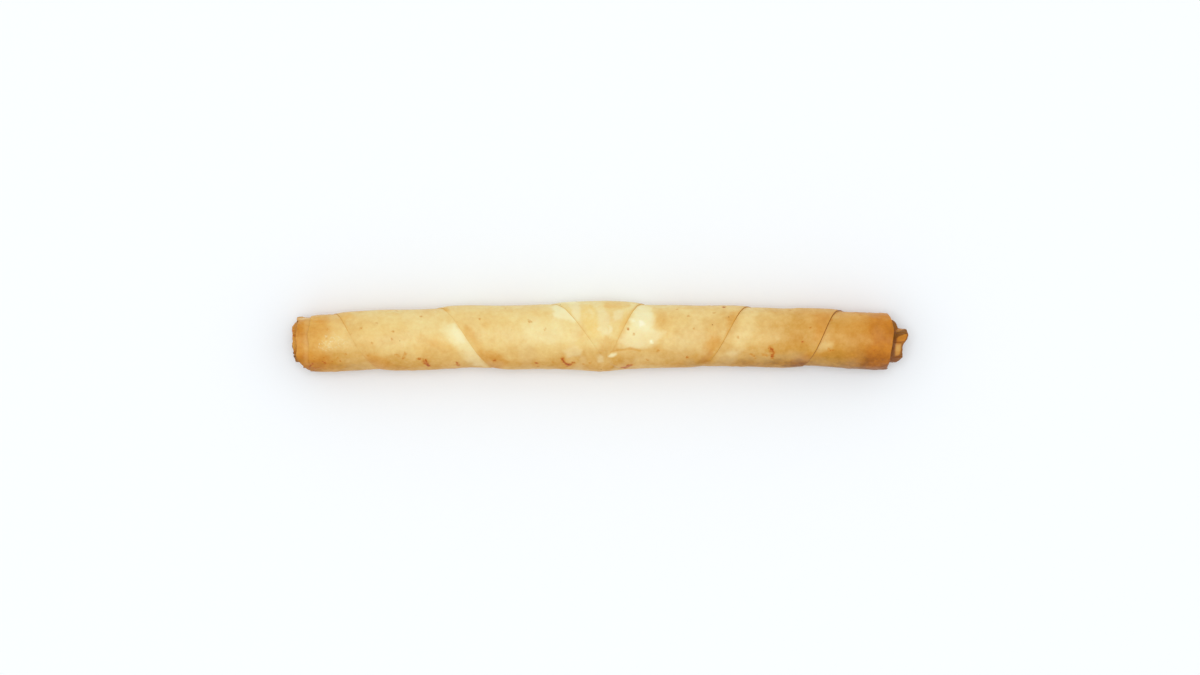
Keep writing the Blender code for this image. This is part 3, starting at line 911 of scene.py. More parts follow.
@dataclass(frozen=True)
class Relief:
    """What stands up from or sinks into the baked sheet, in millimetres."""

    blister_seed: int = 7
    blister_count: int = 520
    blister_sizes: tuple[float, float] = (0.5, 1.6)
    blister_height: float = 0.1
    blister_reach: float = 2.5  # sizes from its middle, past which it is nothing
    blister_fall: float = 1.5
    end_blisters: float = 0.4  # share of them that crowd in the last stretch of each end
    end_stretch: float = 20.0
    half_length: float = 92.0
    dent: float = 0.16  # broad unevenness
    dent_size: float = 9.0
    feather: float = 2.0  # how far in from its edge the sheet thins
    feather_power: float = 1.5
    lip: float = 0.3  # how far the turns flare at the roll's ends
    lip_length: float = 1.8
    lip_size: float = 5.0
    lip_turn: float = 2.6  # the turns flare from this one on
    crag: float = 0.5  # crumbled core edges
    crag_size: float = 1.1
    crag_length: float = 1.2
    crag_turns: tuple[float, float] = (4.6, 0.6)  # where they start, and how soon they are full
    right_crag: float = 0.5  # how much of it the right end has

    def heights(self, surface: Surface, winding: Winding, sides: tuple[Side, ...]) -> np.ndarray:
        """Adds up the relief.

        Args:
            surface: the points.
            winding: how the sheet winds.
            sides: its halves.

        Returns:
            The height at each point, in millimetres.
        """
        edge, turn = surface.from_edge, surface.turn
        total = self.blisters(surface) + self.dent * surface.mottle(self.dent_size, 3.0)
        thick = winding.sheet / MM * smooth(turn / winding.tip_taper)
        left, right = (side.step.at(turn) for side in sides)
        spare = np.maximum(0.0, thick - np.where(surface.hand < 0, left, right))
        sunk = spare * np.exp(-((edge / self.feather) ** self.feather_power))
        total -= np.where(surface.underneath, 0.0, sunk)
        flare = self.lip * np.exp(-edge / self.lip_length) * surface.mottle(self.lip_size, 9.0)
        total += np.where(turn > self.lip_turn, flare, 0.0)
        crumbled = rise(turn, *self.crag_turns) * np.exp(-edge / self.crag_length)
        crumbled *= np.where(surface.hand < 0, 1.0, self.right_crag)
        return total + self.crag * crumbled * surface.mottle(self.crag_size, 27.0)

    def blisters(self, surface: Surface) -> np.ndarray:
        """Gives the heights of small blisters, strewn by a seeded draw.

        Args:
            surface: the points.

        Returns:
            The height at each point, in millimetres.
        """
        draw = np.random.default_rng(self.blister_seed)
        total = np.zeros_like(surface.x)
        around = math.pi * ROUND
        for k in range(self.blister_count):
            x = draw.uniform(-self.half_length, self.half_length)
            if k < self.end_blisters * self.blister_count:
                x = math.copysign(self.half_length - abs(draw.normal(0, self.end_stretch / 2)), x)
            arc = draw.uniform(-around, around)
            size = draw.uniform(*self.blister_sizes)
            near = np.abs(surface.x - x) < self.blister_reach * size
            off = (surface.arc[near] - arc + around) % (2 * around) - around
            far = ((surface.x[near] - x) ** 2 + off**2) / size**2
            total[near] += self.blister_height * size * np.exp(-self.blister_fall * far)
        return total


@dataclass(frozen=True)
class Browning:
    """How the roll baked along its length: 0 is pale and starchy, 1 is deep brown."""

    along: Stations = Stations(
        ((-92, 0.54), (-86, 0.5), (-76, 0.42), (-62, 0.37), (-45, 0.35), (-25, 0.31), (-8, 0.29),
         (8, 0.29), (20, 0.38), (30, 0.41), (38, 0.46), (46, 0.46), (56, 0.56), (65, 0.6),
         (74, 0.65), (84, 0.71), (92, 0.76))
    )
    amber_along: Stations = Stations(
        ((-92, 0.45), (-84, 0.32), (-72, 0.08), (-55, 0.05), (50, 0.05), (66, 0.25), (84, 0.72))
    )
    front_shade_and_brown: float = 0.32  # more brown low on the front, partly browning and partly painted shade
    front_shade_band: tuple[float, float] = (0.15, 0.85)  # shares of the radius: its start and width
    back: float = 0.06  # paler high on the back: painted light
    back_light_band: tuple[float, float] = (0.4, 0.5)
    back_light_top: tuple[float, float] = (-0.6, 1.0)
    under: float = 0.12  # more underneath, where it lay on the tray
    under_band: tuple[float, float] = (-0.2, 1.0)
    under_size: float = 6.0
    blotch: float = 0.03
    blotch_sizes: tuple[float, float, float] = (8.0, 3.6, 1.7)
    blotch_contrast: float = 2.2
    blotch_fade: float = 0.25  # how much weaker each smaller size is
    deep: float = 0.08  # more on the inner turns
    deep_turns: tuple[float, float] = (3.4, 0.8)
    amber_blotch: float = 0.16
    amber_size: float = 6.0
    starch: float = 0.03
    middle_starch: float = 0.14  # more near the middle of the roll
    middle_length: float = 26.0
    starch_size: float = 5.0
    starch_contrast: float = 2.4
    starch_start: float = 0.1
    skin: float = 0.2  # how blistered the skin is
    end_skin: float = 0.6  # more towards the ends
    end_band: tuple[float, float] = (70.0, 20.0)

    def level(self, surface: Surface) -> np.ndarray:
        """Gives how brown each point is, with painted shade low on the front and painted light high
        on the back, before the patches.

        Args:
            surface: the points.

        Returns:
            A level from about 0 to 1 at each.
        """
        angle = surface.arc / ROUND
        behind, up = np.sin(angle), np.cos(angle)
        # darker low on the front: painted shade as well as more browning
        level = self.along.at(surface.x) + self.front_shade_and_brown * rise(-behind, *self.front_shade_band)
        # paler high on the back: painted light
        level -= self.back * rise(behind, *self.back_light_band) * rise(up, *self.back_light_top)
        tray = rise(-up, *self.under_band) * (1 + surface.mottle(self.under_size, 71.0))
        level += self.under * tray
        for k, size in enumerate(self.blotch_sizes):
            blotches = smooth(0.5 + self.blotch_contrast * surface.mottle(size, 21.0 + 12 * k))
            level += self.blotch * (1 - self.blotch_fade * k) * (2 * blotches - 1)
        return level + self.deep * rise(surface.turn, *self.deep_turns)

    def amber(self, surface: Surface) -> np.ndarray:
        """Gives how amber the oil and the heat made each point, before the patches."""
        blotches = surface.mottle(self.amber_size, 47.0)
        return self.amber_along.at(surface.x) + self.amber_blotch * blotches

    def cream(self, surface: Surface) -> np.ndarray:
        """Gives how starchy each point is, before the patches.

        Args:
            surface: the points.

        Returns:
            A share at each.
        """
        middle = np.exp(-((surface.x / self.middle_length) ** 2))
        mottled = self.starch_contrast * surface.mottle(self.starch_size, 87.0)
        return (self.starch + self.middle_starch * middle) * smooth(mottled - self.starch_start)

    def bubbly(self, surface: Surface) -> np.ndarray:
        """Gives how blistered the skin is, before the patches."""
        return self.skin + self.end_skin * rise(np.abs(surface.x), *self.end_band)


class Blend(Enum):
    """How a colour is laid over the one beneath."""

    OVER = "MIX"
    GLAZE = "MULTIPLY"
    DARKER = "DARKEN"


@dataclass(frozen=True)
class Layer:
    """A colour laid on by one field of the sheet: not at all up to low, and fully from high on."""

    field: str
    colour: str
    low: float = 0.0
    high: float = 1.0
    blend: Blend = Blend.OVER


@dataclass(frozen=True)
class YufkaFinish:
    """Yufka, a thin wheat sheet rolled by hand, brushed with oil and baked.

    The eye gets a pale cream sheet that turns through straw and honey to a matt brown where the heat
    was strongest and where shade is painted in, with a faint oily gloss, a fine blistered grain,
    burnt specks and a few painted glints.
    """

    name: str = "oiled_yufka_baked"
    stops: tuple[tuple[float, str], ...] = (
        (0.0, "EEE6B8"),
        (0.16, "EAD897"),
        (0.36, "E3C47E"),
        (0.54, "D6AC61"),
        (0.70, "C89439"),
        (0.86, "B07A16"),
        (1.0, "88580A"),
    )
    layers: tuple[Layer, ...] = (
        Layer("amber", "FAD783", blend=Blend.GLAZE),  # oil that went clear and orange
        Layer("cream", "EFEABF"),  # starchy dough that stayed pale, and painted glints
        Layer("cream", "FBF8EC", 0.8, 1.6),  # and its floury heart, and the brightest painted glints
        Layer("blistered", "EFEABF"),  # pale tops of the finest blisters
        Layer("edge", "D29A3A", 0.0, 0.6, Blend.DARKER),  # golden rim of the sheet
        Layer("edge", "8E5208", 0.4, 1.1),  # and the line that browned most
        Layer("burnt", "C98626", 0.0, 0.55, Blend.DARKER),  # scorched ring of a speck
        Layer("burnt", "B05404", 0.35, 0.6, Blend.DARKER),  # its burnt inside
        Layer("burnt", "5E2C06", 0.66, 0.95),  # and its charred heart
        Layer("flecked", "8E5208"),  # pinhead flecks
    )
    even: tuple[tuple[str, object], ...] = (
        ("IOR", 1.45),
        ("Subsurface Weight", 0.08),
        ("Subsurface Radius", (1.0, 0.6, 0.3)),
        ("Subsurface Scale", 1.0 * MM),
        ("Specular IOR Level", 0.3),
        ("Coat Weight", 0.05),
        ("Coat Roughness", 0.3),
        ("Sheen Weight", 0.09),
        ("Sheen Roughness", 0.4),
        ("Sheen Tint", linear("FFF3D8")),
    )
    attributes: tuple[str, ...] = ("baked", "amber", "cream", "bubbly", "speck", "edge", "flecks")
    grain_mm: float = 0.6  # half of that in real dough, and drawn coarser so that it shows
    bubble_mm: float = 1.4  # baked blisters are 1 to 2 mm across
    detail: float = 2.0
    grain_tint: float = 0.06
    bubble_tint: float = 0.18
    speck_grain: float = 0.9
    pale_grains: tuple[float, float] = (0.5, 0.95)  # the grain that shows pale on a blistered skin
    pale_skin: tuple[float, float] = (0.85, 1.6)
    fleck_mm: float = 2.4  # between flecks, most of which didn't burn
    fleck_size: tuple[float, float] = (0.1, 0.04)  # its rim and inside, in shares of the spacing
    roughness: tuple[float, float] = (0.38, 0.62)
    bubble_height: float = 1.6  # for 1 of the grain
    bump: float = 0.14 * MM
    bump_strength: tuple[float, float] = (0.3, 1.0)

    def build(self) -> bpy.types.Material:
        """Builds the material.

        Returns:
            The finished material.
        """
        material = bpy.data.materials.new(self.name)
        material.use_nodes = True
        tree = material.node_tree
        shader = tree.nodes["Principled BSDF"]
        for name, value in self.even:
            shader.inputs[name].default_value = value
        fields = self.fields(tree)
        bubbles = fields["bubbles"]
        rough, strength = (
            add_node(tree, "ShaderNodeMapRange", {"Value": value, "To Min": low, "To Max": high})
            for value, (low, high) in (
                (bubbles, self.roughness), (fields["bubbly"], self.bump_strength)
            )
        )
        height = add_node(
            tree, "ShaderNodeMath", {0: bubbles, 1: self.bubble_height, 2: fields["grain"]},
            operation="MULTIPLY_ADD",
        )
        bump = add_node(
            tree, "ShaderNodeBump",
            {"Height": height.outputs[0], "Strength": strength.outputs["Result"],
             "Distance": self.bump},
        )
        tree.links.new(self.colour(tree, fields), shader.inputs["Base Color"])
        tree.links.new(rough.outputs["Result"], shader.inputs["Roughness"])
        tree.links.new(bump.outputs["Normal"], shader.inputs["Normal"])
        return material

    def fields(self, tree: bpy.types.NodeTree) -> dict[str, bpy.types.NodeSocket]:
        """Adds the fields that the colour and the bump are made of.

        Args:
            tree: the material's nodes.

        Returns:
            The sockets by name: two noises, the mesh's own attributes, and three made of these.
        """
        place = add_node(tree, "ShaderNodeTexCoord").outputs["Object"]
        found = {
            name: add_node(tree, "ShaderNodeAttribute", attribute_name=name).outputs["Fac"]
            for name in self.attributes
        }
        for name, size in (("grain", self.grain_mm), ("bubbles", self.bubble_mm)):
            spots = {"Vector": place, "Scale": 1 / (size * MM), "Detail": self.detail}
            found[name] = add_node(tree, "ShaderNodeTexNoise", spots).outputs["Fac"]
        flecks = add_node(
            tree, "ShaderNodeTexVoronoi", {"Vector": place, "Scale": 1 / (self.fleck_mm * MM)}
        )
        draw = add_node(tree, "ShaderNodeSeparateColor", {0: flecks.outputs["Color"]})
        chosen = add_node(
            tree, "ShaderNodeMath", {0: found["flecks"], 1: draw.outputs[0]},
            operation="GREATER_THAN",
        )
        ranges = (
            {"Value": value, "From Min": low, "From Max": high}
            for value, (low, high) in (
                (found["grain"], self.pale_grains),
                (found["bubbly"], self.pale_skin),
                (flecks.outputs["Distance"], self.fleck_size),
            )
        )
        grains, skin, dots = (add_node(tree, "ShaderNodeMapRange", each) for each in ranges)
        burnt = {0: found["grain"], 1: self.speck_grain, 2: found["speck"]}
        for name, operation, inputs in (
            ("blistered", "MULTIPLY", {0: grains.outputs[0], 1: skin.outputs[0]}),
            ("flecked", "MULTIPLY", {0: chosen.outputs[0], 1: dots.outputs[0]}),
            ("burnt", "MULTIPLY_ADD", burnt),
        ):
            found[name] = add_node(tree, "ShaderNodeMath", inputs, operation=operation).outputs[0]
        return found

    def colour(
        self, tree: bpy.types.NodeTree, fields: dict[str, bpy.types.NodeSocket]
    ) -> bpy.types.NodeSocket:
        """Adds the colour of the baked sheet.

        Args:
            tree: the material's nodes.
            fields: the fields by name.

        Returns:
            The colour's socket.
        """
        even = 0.5 * self.bubble_tint
        fine = add_node(
            tree, "ShaderNodeMapRange",
            {"Value": fields["grain"], "To Min": -self.grain_tint - even,
             "To Max": self.grain_tint - even},
        )
        tint = add_node(
            tree, "ShaderNodeMath",
            {0: fields["bubbles"], 1: self.bubble_tint, 2: fine.outputs["Result"]},
            operation="MULTIPLY_ADD",
        )
        level = add_node(
            tree, "ShaderNodeMath", {0: fields["baked"], 1: tint.outputs[0]}, operation="ADD"
        )
        ramp = add_node(tree, "ShaderNodeValToRGB", {"Fac": level.outputs[0]})
        elements = ramp.color_ramp.elements
        while len(elements) < len(self.stops):
            elements.new(0.5)
        for element, (place, code) in zip(elements, self.stops):
            element.position = place
            element.color = linear(code)
        colour = ramp.outputs["Color"]
        for layer in self.layers:
            share = add_node(
                tree, "ShaderNodeMapRange",
                {"Value": fields[layer.field], "From Min": layer.low, "From Max": layer.high},
            )
            over = {"Factor": share.outputs["Result"], 6: colour, 7: linear(layer.colour)}
            colour = add_node(
                tree, "ShaderNodeMix", over, data_type="RGBA", blend_type=layer.blend.value
            ).outputs[2]
        return colour


@dataclass
class WoundSheet:
    """The whole roll as one fine mesh, wound strip by strip."""

    winding: Winding = Winding()
    sides: tuple[Side, ...] = (LEFT, RIGHT)
    relief: Relief = Relief()
    browning: Browning = Browning()
    finish: YufkaFinish = YufkaFinish()
    rows: int = 160  # strips to a turn
    fine_column: float = 0.38 * MM  # between points along a strip, near the tip
    fine_until: float = 18 * MM
    column: float = 0.47 * MM
    spare: float = 0.3  # columns kept clear of a strip's ends
    bevel: float = 0.08 * MM
    line: float = 0.3 * MM  # how far in from its edge the sheet has a browned line
    band: float = 0.9 * MM  # and a paler golden band
    most: tuple[float, float, float] = (0.3, 0.4, 0.7)  # of a narrow strip that these three take
    most_gap: float = 0.4  # of the step down to the turn beneath
    plug_rings: int = 14
    plug_bulge: float = 0.5 * MM
    plug_fold: float = 0.55 * MM
    plug_winds: float = 3.2  # turns of its crease
    plug_trough: float = 0.6  # how much of the fold lies inwards
    plug_calm: float = 0.2  # share of its radius over which the fold comes in
    plug_edge: float = 3 * MM  # how far in from an edge a plug counts as lying
    middle_edge: float = 9 * MM  # and the line through the tip
    calm: float = 3 * MM  # the relief fades nearer the axis than this
    cushion: float = 0.15 * MM  # the underside flattens below this height
    core_turn: float = 6.2  # where places past the sheet's reach count as lying
    sharp: float = math.radians(50)  # faces that meet at more than this keep their edge
    top_field: float = 1.6  # no field but the specks goes higher
    clear: float = -1.5  # the speck field far from any speck
    hidden_specks: int = 70  # on the back and underneath
    hidden_seed: int = 11
    hidden_x: tuple[float, float] = (-90, 90)  # millimetres along the roll
    hidden_arc: tuple[float, float] = (14, 49)  # and round it
    hidden_radius: tuple[float, float] = (0.1, 0.3)
    hidden_depth: tuple[float, float] = (-0.15, 0.25)
    band_line: float = 0.35  # how dark the golden band is, for 1 of the line
    crumb_line: float = 0.6  # how dark the crumbling core edges are
    crumb_length: float = 0.9  # millimetres
    crumb_turns: tuple[float, float] = (4.4, 0.6)  # where they start, and how soon they are full
    fleck: float = 0.08  # share of the flecks that burnt
    end_fleck: float = 0.1
    left_fleck: float = 0.4  # low on the front of the left end
    fleck_ends: tuple[float, float] = (60.0, 25.0)  # millimetres: their start and width
    fleck_band: tuple[float, float] = (0.2, 0.5)  # the low front, in shares of the radius

    def __post_init__(self) -> None:
        """Starts the empty lists of points and faces."""
        self.turns: list[float] = []
        self.reaches: list[float] = []
        self.radii: list[float] = []
        self.hands: list[int] = []
        self.from_edges: list[float] = []
        self.outs: list[float] = []
        self.unders: list[bool] = []
        self.faces: list[tuple[int, ...]] = []

    def point(
        self,
        hand: int,
        turn: float,
        reach: float,
        radius: float,
        from_edge: float,
        out: float = 0.0,
        under: bool = False,
    ) -> int:
        """Adds a point of the sheet.

        Args:
            hand: -1 on the left, 1 on the right.
            turn: its turn.
            reach: its distance along the roll from the tip.
            radius: its distance from the roll's axis.
            from_edge: its distance from the sheet's edge.
            out: how far a plug's fold moves it outwards along the roll.
            under: whether it is on the sheet's underside.

        Returns:
            The point's number.
        """
        self.turns.append(float(turn))
        self.reaches.append(float(reach))
        self.radii.append(float(radius))
        self.hands.append(hand)
        self.from_edges.append(float(from_edge))
        self.outs.append(float(out))
        self.unders.append(under)
        return len(self.turns) - 1

    def face(self, corners: tuple[int, ...]) -> None:
        """Adds a face, unless its corners fall together.

        Args:
            corners: its points' numbers, in order.
        """
        distinct = tuple(dict.fromkeys(corners))
        if len(distinct) > 2:
            self.faces.append(distinct)

    def columns(self) -> np.ndarray:
        """Gives the reaches at which strips have points."""
        fine = np.arange(self.fine_column, self.fine_until, self.fine_column)
        return np.concatenate([fine, np.arange(self.fine_until, 0.1, self.column)])

    def zip_strips(self, first: list[int], second: list[int]) -> None:
        """Joins the faces of two neighbouring strips, stepping on the one that lags.

        Args:
            first: the points of one strip, outwards.
            second: those of the next.
        """
        i = j = 0
        same = self.fine_column / 4  # points nearer than this go side by side
        while i < len(first) - 1 or j < len(second) - 1:
            next_i = self.reaches[first[i + 1]] if i < len(first) - 1 else math.inf
            next_j = self.reaches[second[j + 1]] if j < len(second) - 1 else math.inf
            if abs(next_i - next_j) < same:
                self.face((first[i], first[i + 1], second[j + 1], second[j]))
                i, j = i + 1, j + 1
            elif next_i < next_j:
                self.face((first[i], first[i + 1], second[j]))
                i += 1
            else:
                self.face((first[i], second[j + 1], second[j]))
                j += 1

    def wind(self, side: Side, middle: list[int]) -> None:
        """Winds one half of the sheet from the tip to the core.

        Args:
            side: the half.
            middle: the points of the first turn on the line through the tip.
        """
        winding, hand = self.winding, side.hand.value
        count = winding.turns * self.rows
        turns = np.arange(count + self.rows) / self.rows
        reaches = side.edge_reach(winding, turns)
        grooves = side.groove_depth(winding, turns)
        outsides, beneaths = winding.radius(turns), winding.radius(turns + 1)
        gaps = np.minimum(winding.leaf_gap, self.most_gap * side.step.at(turns) * MM)
        insides = beneaths + gaps * smooth(grooves / winding.groove)
        columns = self.columns()
        strips, edges, ends = [], [], []
        for k in range(count):
            turn, reach, radius = turns[k], reaches[k], outsides[k]
            start = ends[k - self.rows] if k >= self.rows else middle[k]
            if k == 0:
                strips.append([start])
                edges.append([start] * 6)
                ends.append(start)
                continue
            room = reach - self.reaches[start]
            bevel, line, band = (
                min(width, share * room)
                for width, share in zip((self.bevel, self.line, self.band), self.most)
            )
            bevel = min(bevel, 0.5 * (radius - insides[k]))
            low = self.reaches[start] + self.spare * self.fine_column
            high = reach - band - self.spare * self.fine_column
            face = [start]
            for place in columns[(columns > low) & (columns < high)]:
                face.append(self.point(hand, turn, place, radius, reach - place))
            for inset in (band, line):
                face.append(self.point(hand, turn, reach - inset, radius, inset))
            inner = reach - grooves[k]
            foot = self.point(hand, turn + 1, inner, beneaths[k], reaches[k + self.rows] - inner)
            lip = heel = foot
            if grooves[k] > 0:
                lip = self.point(hand, turn, reach, insides[k], 0, under=True)
                heel = self.point(hand, turn, inner, insides[k], reach - inner, under=True)
            rim = [
                face[-1],
                self.point(hand, turn, reach - bevel, radius, bevel),
                self.point(hand, turn, reach, radius - bevel, 0),
                lip,
                heel,
                foot,
            ]
            strips.append(face)
            edges.append(rim)
            ends.append(rim[-1])
        last = ends[-self.rows]
        strips.append([last])
        edges.append([last] * 6)
        for k in range(count):
            self.zip_strips(strips[k], strips[k + 1])
            for near, far in zip(range(5), range(1, 6)):
                a, b = edges[k], edges[k + 1]
                self.face((a[near], a[far], b[far], b[near]))
        self.plug(side, ends[-self.rows :])

    def plug(self, side: Side, rim: list[int]) -> None:
        """Closes the middle of an end with the innermost turns, tight and crumpled.

        Args:
            side: the half that the end belongs to.
            rim: the points round the hole.
        """
        hand = side.hand.value
        ring = rim
        for k in range(1, self.plug_rings):
            share = 1 - k / self.plug_rings
            inner = []
            for n, corner in enumerate(rim):
                wound = (1 - share) * self.plug_winds + n / len(rim)
                crest = (abs((wound % 1.0) - 0.5) * 2) ** 2
                calm = smooth((1 - share) / self.plug_calm)
                fold = self.plug_fold * (crest - self.plug_trough) * calm
                out = self.plug_bulge * (1 - share) + fold
                radius = self.radii[corner] * share
                turn, reach = self.turns[corner], self.reaches[corner]
                inner.append(self.point(hand, turn, reach, radius, self.plug_edge, out))
            for n, corner in enumerate(ring):
                after = (n + 1) % len(ring)
                self.face((corner, ring[after], inner[after], inner[n]))
            ring = inner
        turn, reach = self.turns[rim[0]], self.reaches[rim[0]]
        middle = self.point(hand, turn, reach, 0.0, self.plug_edge, self.plug_bulge)
        for n, corner in enumerate(ring):
            self.face((corner, ring[(n + 1) % len(ring)], middle))

    def surface(self) -> Surface:
        """Gathers what the relief and the browning read.

        Returns:
            The points of the sheet.
        """
        turn, hand = np.array(self.turns), np.array(self.hands)
        x = self.winding.tip_x + hand * np.array(self.reaches)
        angle = (self.winding.angle(turn) + math.pi) % FULL_TURN - math.pi
        quarter = (self.winding.tip_angle + math.pi / 2) / FULL_TURN
        sheet = np.floor(turn + quarter).astype(int)
        edge = np.array(self.from_edges) / MM
        return Surface(x / MM, ROUND * angle, sheet, turn, edge, hand, np.array(self.unders))

    def seen(self, points: tuple[tuple[float, float], ...]) -> list[tuple[float, float]]:
        """Finds where on the roll points seen from above lie.

        Args:
            points: x and across, in millimetres from the roll's own middle.

        Returns:
            x and millimetres round the roll, from straight up towards the back.
        """
        winding, found = self.winding, []
        for x, across in points:
            side = self.sides[0] if x * MM < winding.tip_x else self.sides[1]
            reach = abs(x * MM - winding.tip_x)
            axis = float(winding.bow.at(x)) * MM - winding.centre[1]
            girth = float(winding.girth.at(x)) * MM
            share = (across * MM - axis) / winding.outer_radius
            angle = math.asin(max(-STEEPEST, min(STEEPEST, share)))
            turn = (angle - winding.tip_angle) / FULL_TURN
            turns = np.array([turn + k for k in range(winding.turns) if turn + k > 0])
            covered = turns[side.edge_reach(winding, turns) >= reach]
            turn = float(covered[0]) if len(covered) else self.core_turn
            core = float(winding.core_share(turn))
            radius = float(winding.radius(turn)) + girth - side.core_slack * core
            share = (across * MM - axis - side.core_shift[0] * core) / radius
            found.append((x, ROUND * math.asin(max(-STEEPEST, min(STEEPEST, share)))))
        return found

    def places(self, surface: Surface, height: np.ndarray) -> np.ndarray:
        """Works out where the points lie.

        Args:
            surface: the points as fields read them.
            height: the relief at each, in millimetres.

        Returns:
            One row of x, y and z for each point, in metres.
        """
        winding = self.winding
        turn, hand, x = surface.turn, surface.hand, surface.x * MM
        angle = winding.angle(turn)
        girth = winding.girth.at(surface.x) * MM
        core = winding.core_share(turn)
        shifts = [(*side.core_shift, side.core_slack) for side in self.sides]
        shift_y, shift_z, slack = (
            np.where(hand < 0, shifts[0][k], shifts[1][k]) * core for k in range(3)
        )
        under_turn = (math.pi - winding.tip_angle) / FULL_TURN
        under = float(winding.radius(under_turn)) - winding.under_taper * np.abs(x) + girth
        radius = np.array(self.radii)
        swell = smooth(radius / self.calm)
        radius = radius + swell * (girth + winding.lumps(x, angle) + height * MM - slack)
        y = winding.bow.at(surface.x) * MM + shift_y + radius * np.sin(angle)
        z = winding.height_share * (under + radius * np.cos(angle)) - winding.pressed + shift_z
        squashed = self.cushion * np.exp((z - self.cushion) / self.cushion)
        z = np.where(z < self.cushion, squashed, z)
        out = hand * np.array(self.outs)
        return np.stack([x + out - winding.centre[0], y - winding.centre[1], z], 1)

    def speck_field(self, surface: Surface) -> np.ndarray:
        """Gives the depth inside a burnt speck, in millimetres, and below 0 outside them.

        Args:
            surface: the points.

        Returns:
            The depth at each point.
        """
        depth = np.full_like(surface.x, self.clear)
        for speck in SPECKS:
            points = self.seen(speck.points)
            for start, end in zip(points, points[1:] or points):
                inside = speck.radius - away(surface.x, surface.arc, start, end)
                depth = np.maximum(depth, np.minimum(speck.depth, inside))
        draw, half = np.random.default_rng(self.hidden_seed), ROUND * math.pi
        for _ in range(self.hidden_specks):
            x, arc = draw.uniform(*self.hidden_x), draw.uniform(*self.hidden_arc)
            radius, most = draw.uniform(*self.hidden_radius), draw.uniform(*self.hidden_depth)
            off = (surface.arc - arc + half) % (2 * half) - half
            depth = np.maximum(depth, np.minimum(most, radius - np.hypot(surface.x - x, off)))
        return depth

    def edge_field(self, surface: Surface) -> np.ndarray:
        """Gives how dark the browned line on the sheet's own edge is.

        Args:
            surface: the points.

        Returns:
            The darkness at each point.
        """
        left, right = (side.line.at(surface.turn) for side in self.sides)
        strength = np.where(surface.hand < 0, left, right)
        crumbs = np.exp(-surface.from_edge / self.crumb_length)
        crumbs *= self.crumb_line * rise(surface.turn, *self.crumb_turns)
        line = 1 - smooth(surface.from_edge / (self.line / MM))
        band = self.band_line * (1 - smooth(surface.from_edge / (self.band / MM)))
        return strength * np.maximum(np.maximum(line, band), crumbs)

    def fleck_field(self, surface: Surface) -> np.ndarray:
        """Gives the share of the flecks that are burnt.

        Args:
            surface: the points.

        Returns:
            The share at each point.
        """
        ends = rise(np.abs(surface.x), *self.fleck_ends)
        low = rise(-np.sin(surface.arc / ROUND), *self.fleck_band)
        at_end = self.end_fleck + self.left_fleck * low * (surface.hand < 0)
        return self.fleck * (1 + low) + ends * at_end

    def build(self) -> bpy.types.Object:
        """Makes the roll.

        Returns:
            The finished piece.
        """
        rows = np.arange(self.rows) / self.rows
        middle = [
            self.point(Hand.RIGHT.value, turn, 0.0, radius, self.middle_edge)
            for turn, radius in zip(rows, self.winding.radius(rows))
        ]
        for side in self.sides:
            self.wind(side, middle)
        surface = self.surface()
        height = self.relief.heights(surface, self.winding, self.sides)
        fields = {
            # how brown each point baked, with painted shade and painted light in it
            "baked": self.browning.level(surface),
            "amber": self.browning.amber(surface),
            "cream": self.browning.cream(surface),
            "bubbly": self.browning.bubbly(surface),
            "speck": self.speck_field(surface),
            "edge": self.edge_field(surface),
            "flecks": self.fleck_field(surface),
        }
        for patch in PATCHES:
            corners = list(patch.outline) if patch.wrapped else self.seen(patch.outline)
            weight = surface.weight(patch, corners)
            height += patch.rise * weight
            adds = (patch.brown, patch.amber, patch.cream, patch.bubbly)
            for name, amount in zip(("baked", "amber", "cream", "bubbly"), adds):
                fields[name] += amount * weight
        mesh = bpy.data.meshes.new("baked_roll")
        mesh.from_pydata(self.places(surface, height).tolist(), [], self.faces)
        for name, values in fields.items():
            layer = mesh.attributes.new(name, "FLOAT", "POINT")
            values = values if name == "speck" else np.clip(values, 0.0, self.top_field)
            layer.data.foreach_set("value", values.astype(np.float32))
        self.tidy(mesh)
        roll = bpy.data.objects.new("baked_roll", mesh)
        bpy.context.scene.collection.objects.link(roll)
        mesh.materials.append(self.finish.build())
        return roll

    def tidy(self, mesh: bpy.types.Mesh) -> None:
        """Turns the faces outwards and shades them smooth, but for the sheet's edges.

        Args:
            mesh: the roll's mesh.
        """
        work = bmesh.new()
        work.from_mesh(mesh)
        bmesh.ops.recalc_face_normals(work, faces=work.faces)
        work.to_mesh(mesh)
        work.free()
        mesh.shade_smooth()
        mesh.set_sharp_from_angle(angle=self.sharp)


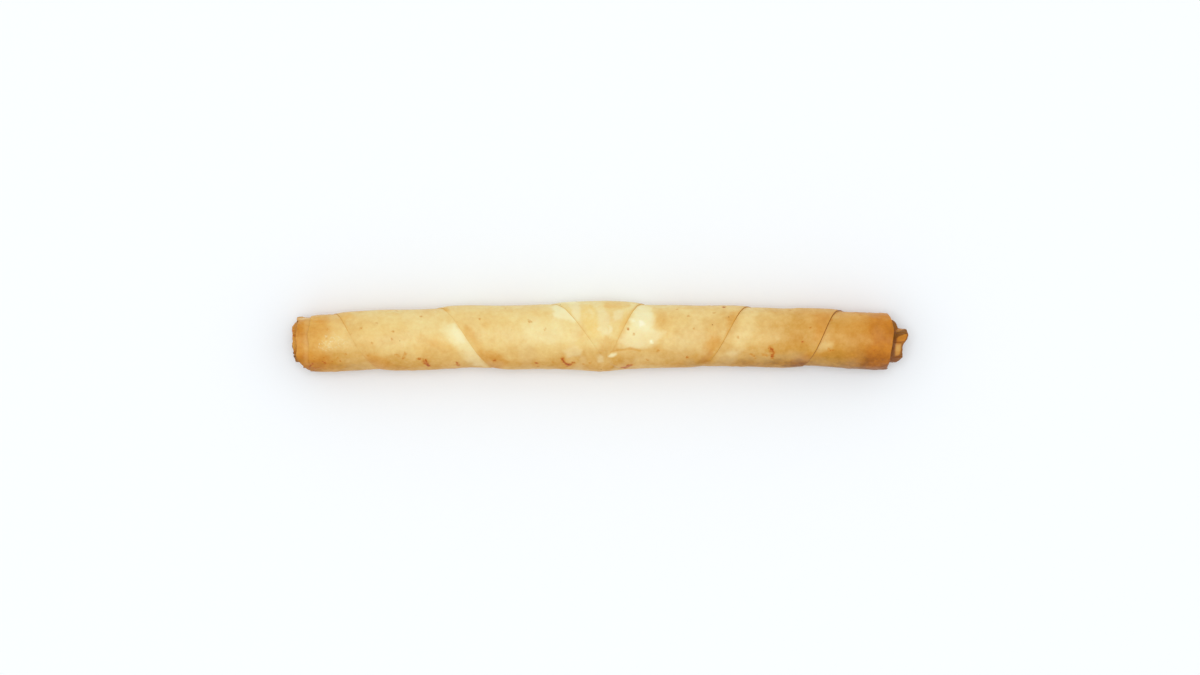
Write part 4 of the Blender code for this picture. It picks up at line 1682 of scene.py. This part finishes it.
@dataclass(frozen=True)
class Studio:
    """The pale floor, the soft light and the camera, which looks straight down, in metres."""

    frame_width: float = 0.36
    frame_centre: tuple[float, float] = (0.0, -0.000225)
    lens: float = 180.0  # millimetres, as is the sensor
    sensor: float = 36.0
    subject_height: float = 0.0095
    floor_size: float = 6.0
    floor_colour: str = "F1F6FD"
    sky_strength: float = 0.84
    sky_colour: str = "FFFBF4"
    key_power: float = 18.0
    key_colour: str = "F2FAFF"
    key_place: tuple[float, float, float] = (-0.1, 0.05, 2.4)
    key_size: float = 1.1
    view_end: float = 20.0
    floor_roughness: float = 0.9

    def camera(self) -> bpy.types.Object:
        """Places the camera so that the frame is as wide as the photograph's.

        Returns:
            The camera.
        """
        data = bpy.data.cameras.new("camera")
        data.lens, data.sensor_width = self.lens, self.sensor
        distance = self.frame_width * self.lens / self.sensor
        camera = bpy.data.objects.new("camera", data)
        camera.location = (*self.frame_centre, distance + self.subject_height)
        data.clip_end = self.view_end
        bpy.context.scene.collection.objects.link(camera)
        bpy.context.scene.camera = camera
        return camera

    def floor(self) -> bpy.types.Object:
        """Lays a matt white floor.

        Returns:
            The floor.
        """
        half = self.floor_size / 2
        corners = [(-half, -half, 0), (half, -half, 0), (half, half, 0), (-half, half, 0)]
        mesh = bpy.data.meshes.new("floor")
        mesh.from_pydata(corners, [], [(0, 1, 2, 3)])
        floor = bpy.data.objects.new("floor", mesh)
        bpy.context.scene.collection.objects.link(floor)
        # uncoated white card, which gives the eye an even pale ground without a gleam
        material = bpy.data.materials.new("matt_white_card")
        material.use_nodes = True
        shader = material.node_tree.nodes["Principled BSDF"]
        shader.inputs["Base Color"].default_value = linear(self.floor_colour)
        shader.inputs["Roughness"].default_value = self.floor_roughness
        mesh.materials.append(material)
        return floor

    def lights(self) -> None:
        """Hangs one large soft light high above, in an even white room."""
        scene = bpy.context.scene
        world = bpy.data.worlds.new("room")
        world.use_nodes = True
        backdrop = world.node_tree.nodes["Background"]
        backdrop.inputs["Color"].default_value = linear(self.sky_colour)
        backdrop.inputs["Strength"].default_value = self.sky_strength
        scene.world = world
        data = bpy.data.lights.new("softbox", "AREA")
        data.energy, data.size = self.key_power, self.key_size
        data.color = linear(self.key_colour)[:3]
        key = bpy.data.objects.new("softbox", data)
        key.location = self.key_place
        key.rotation_euler = (-Vector(self.key_place)).to_track_quat("-Z", "Y").to_euler()
        scene.collection.objects.link(key)
        scene.view_settings.view_transform = "Standard"

    def build(self) -> None:
        """Sets up the whole studio."""
        self.camera()
        self.floor()
        self.lights()


def main() -> None:
    """Builds the studio and the roll."""
    logging.basicConfig(level=logging.INFO, format="%(name)s: %(message)s")
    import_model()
    Studio().build()
    roll = WoundSheet().build()
    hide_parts(NODE)
    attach(roll, "root")
    roll.data.calc_loop_triangles()
    LOG.info("%s: %d triangles", roll.name, len(roll.data.loop_triangles))


if __name__ == "__main__":
    main()
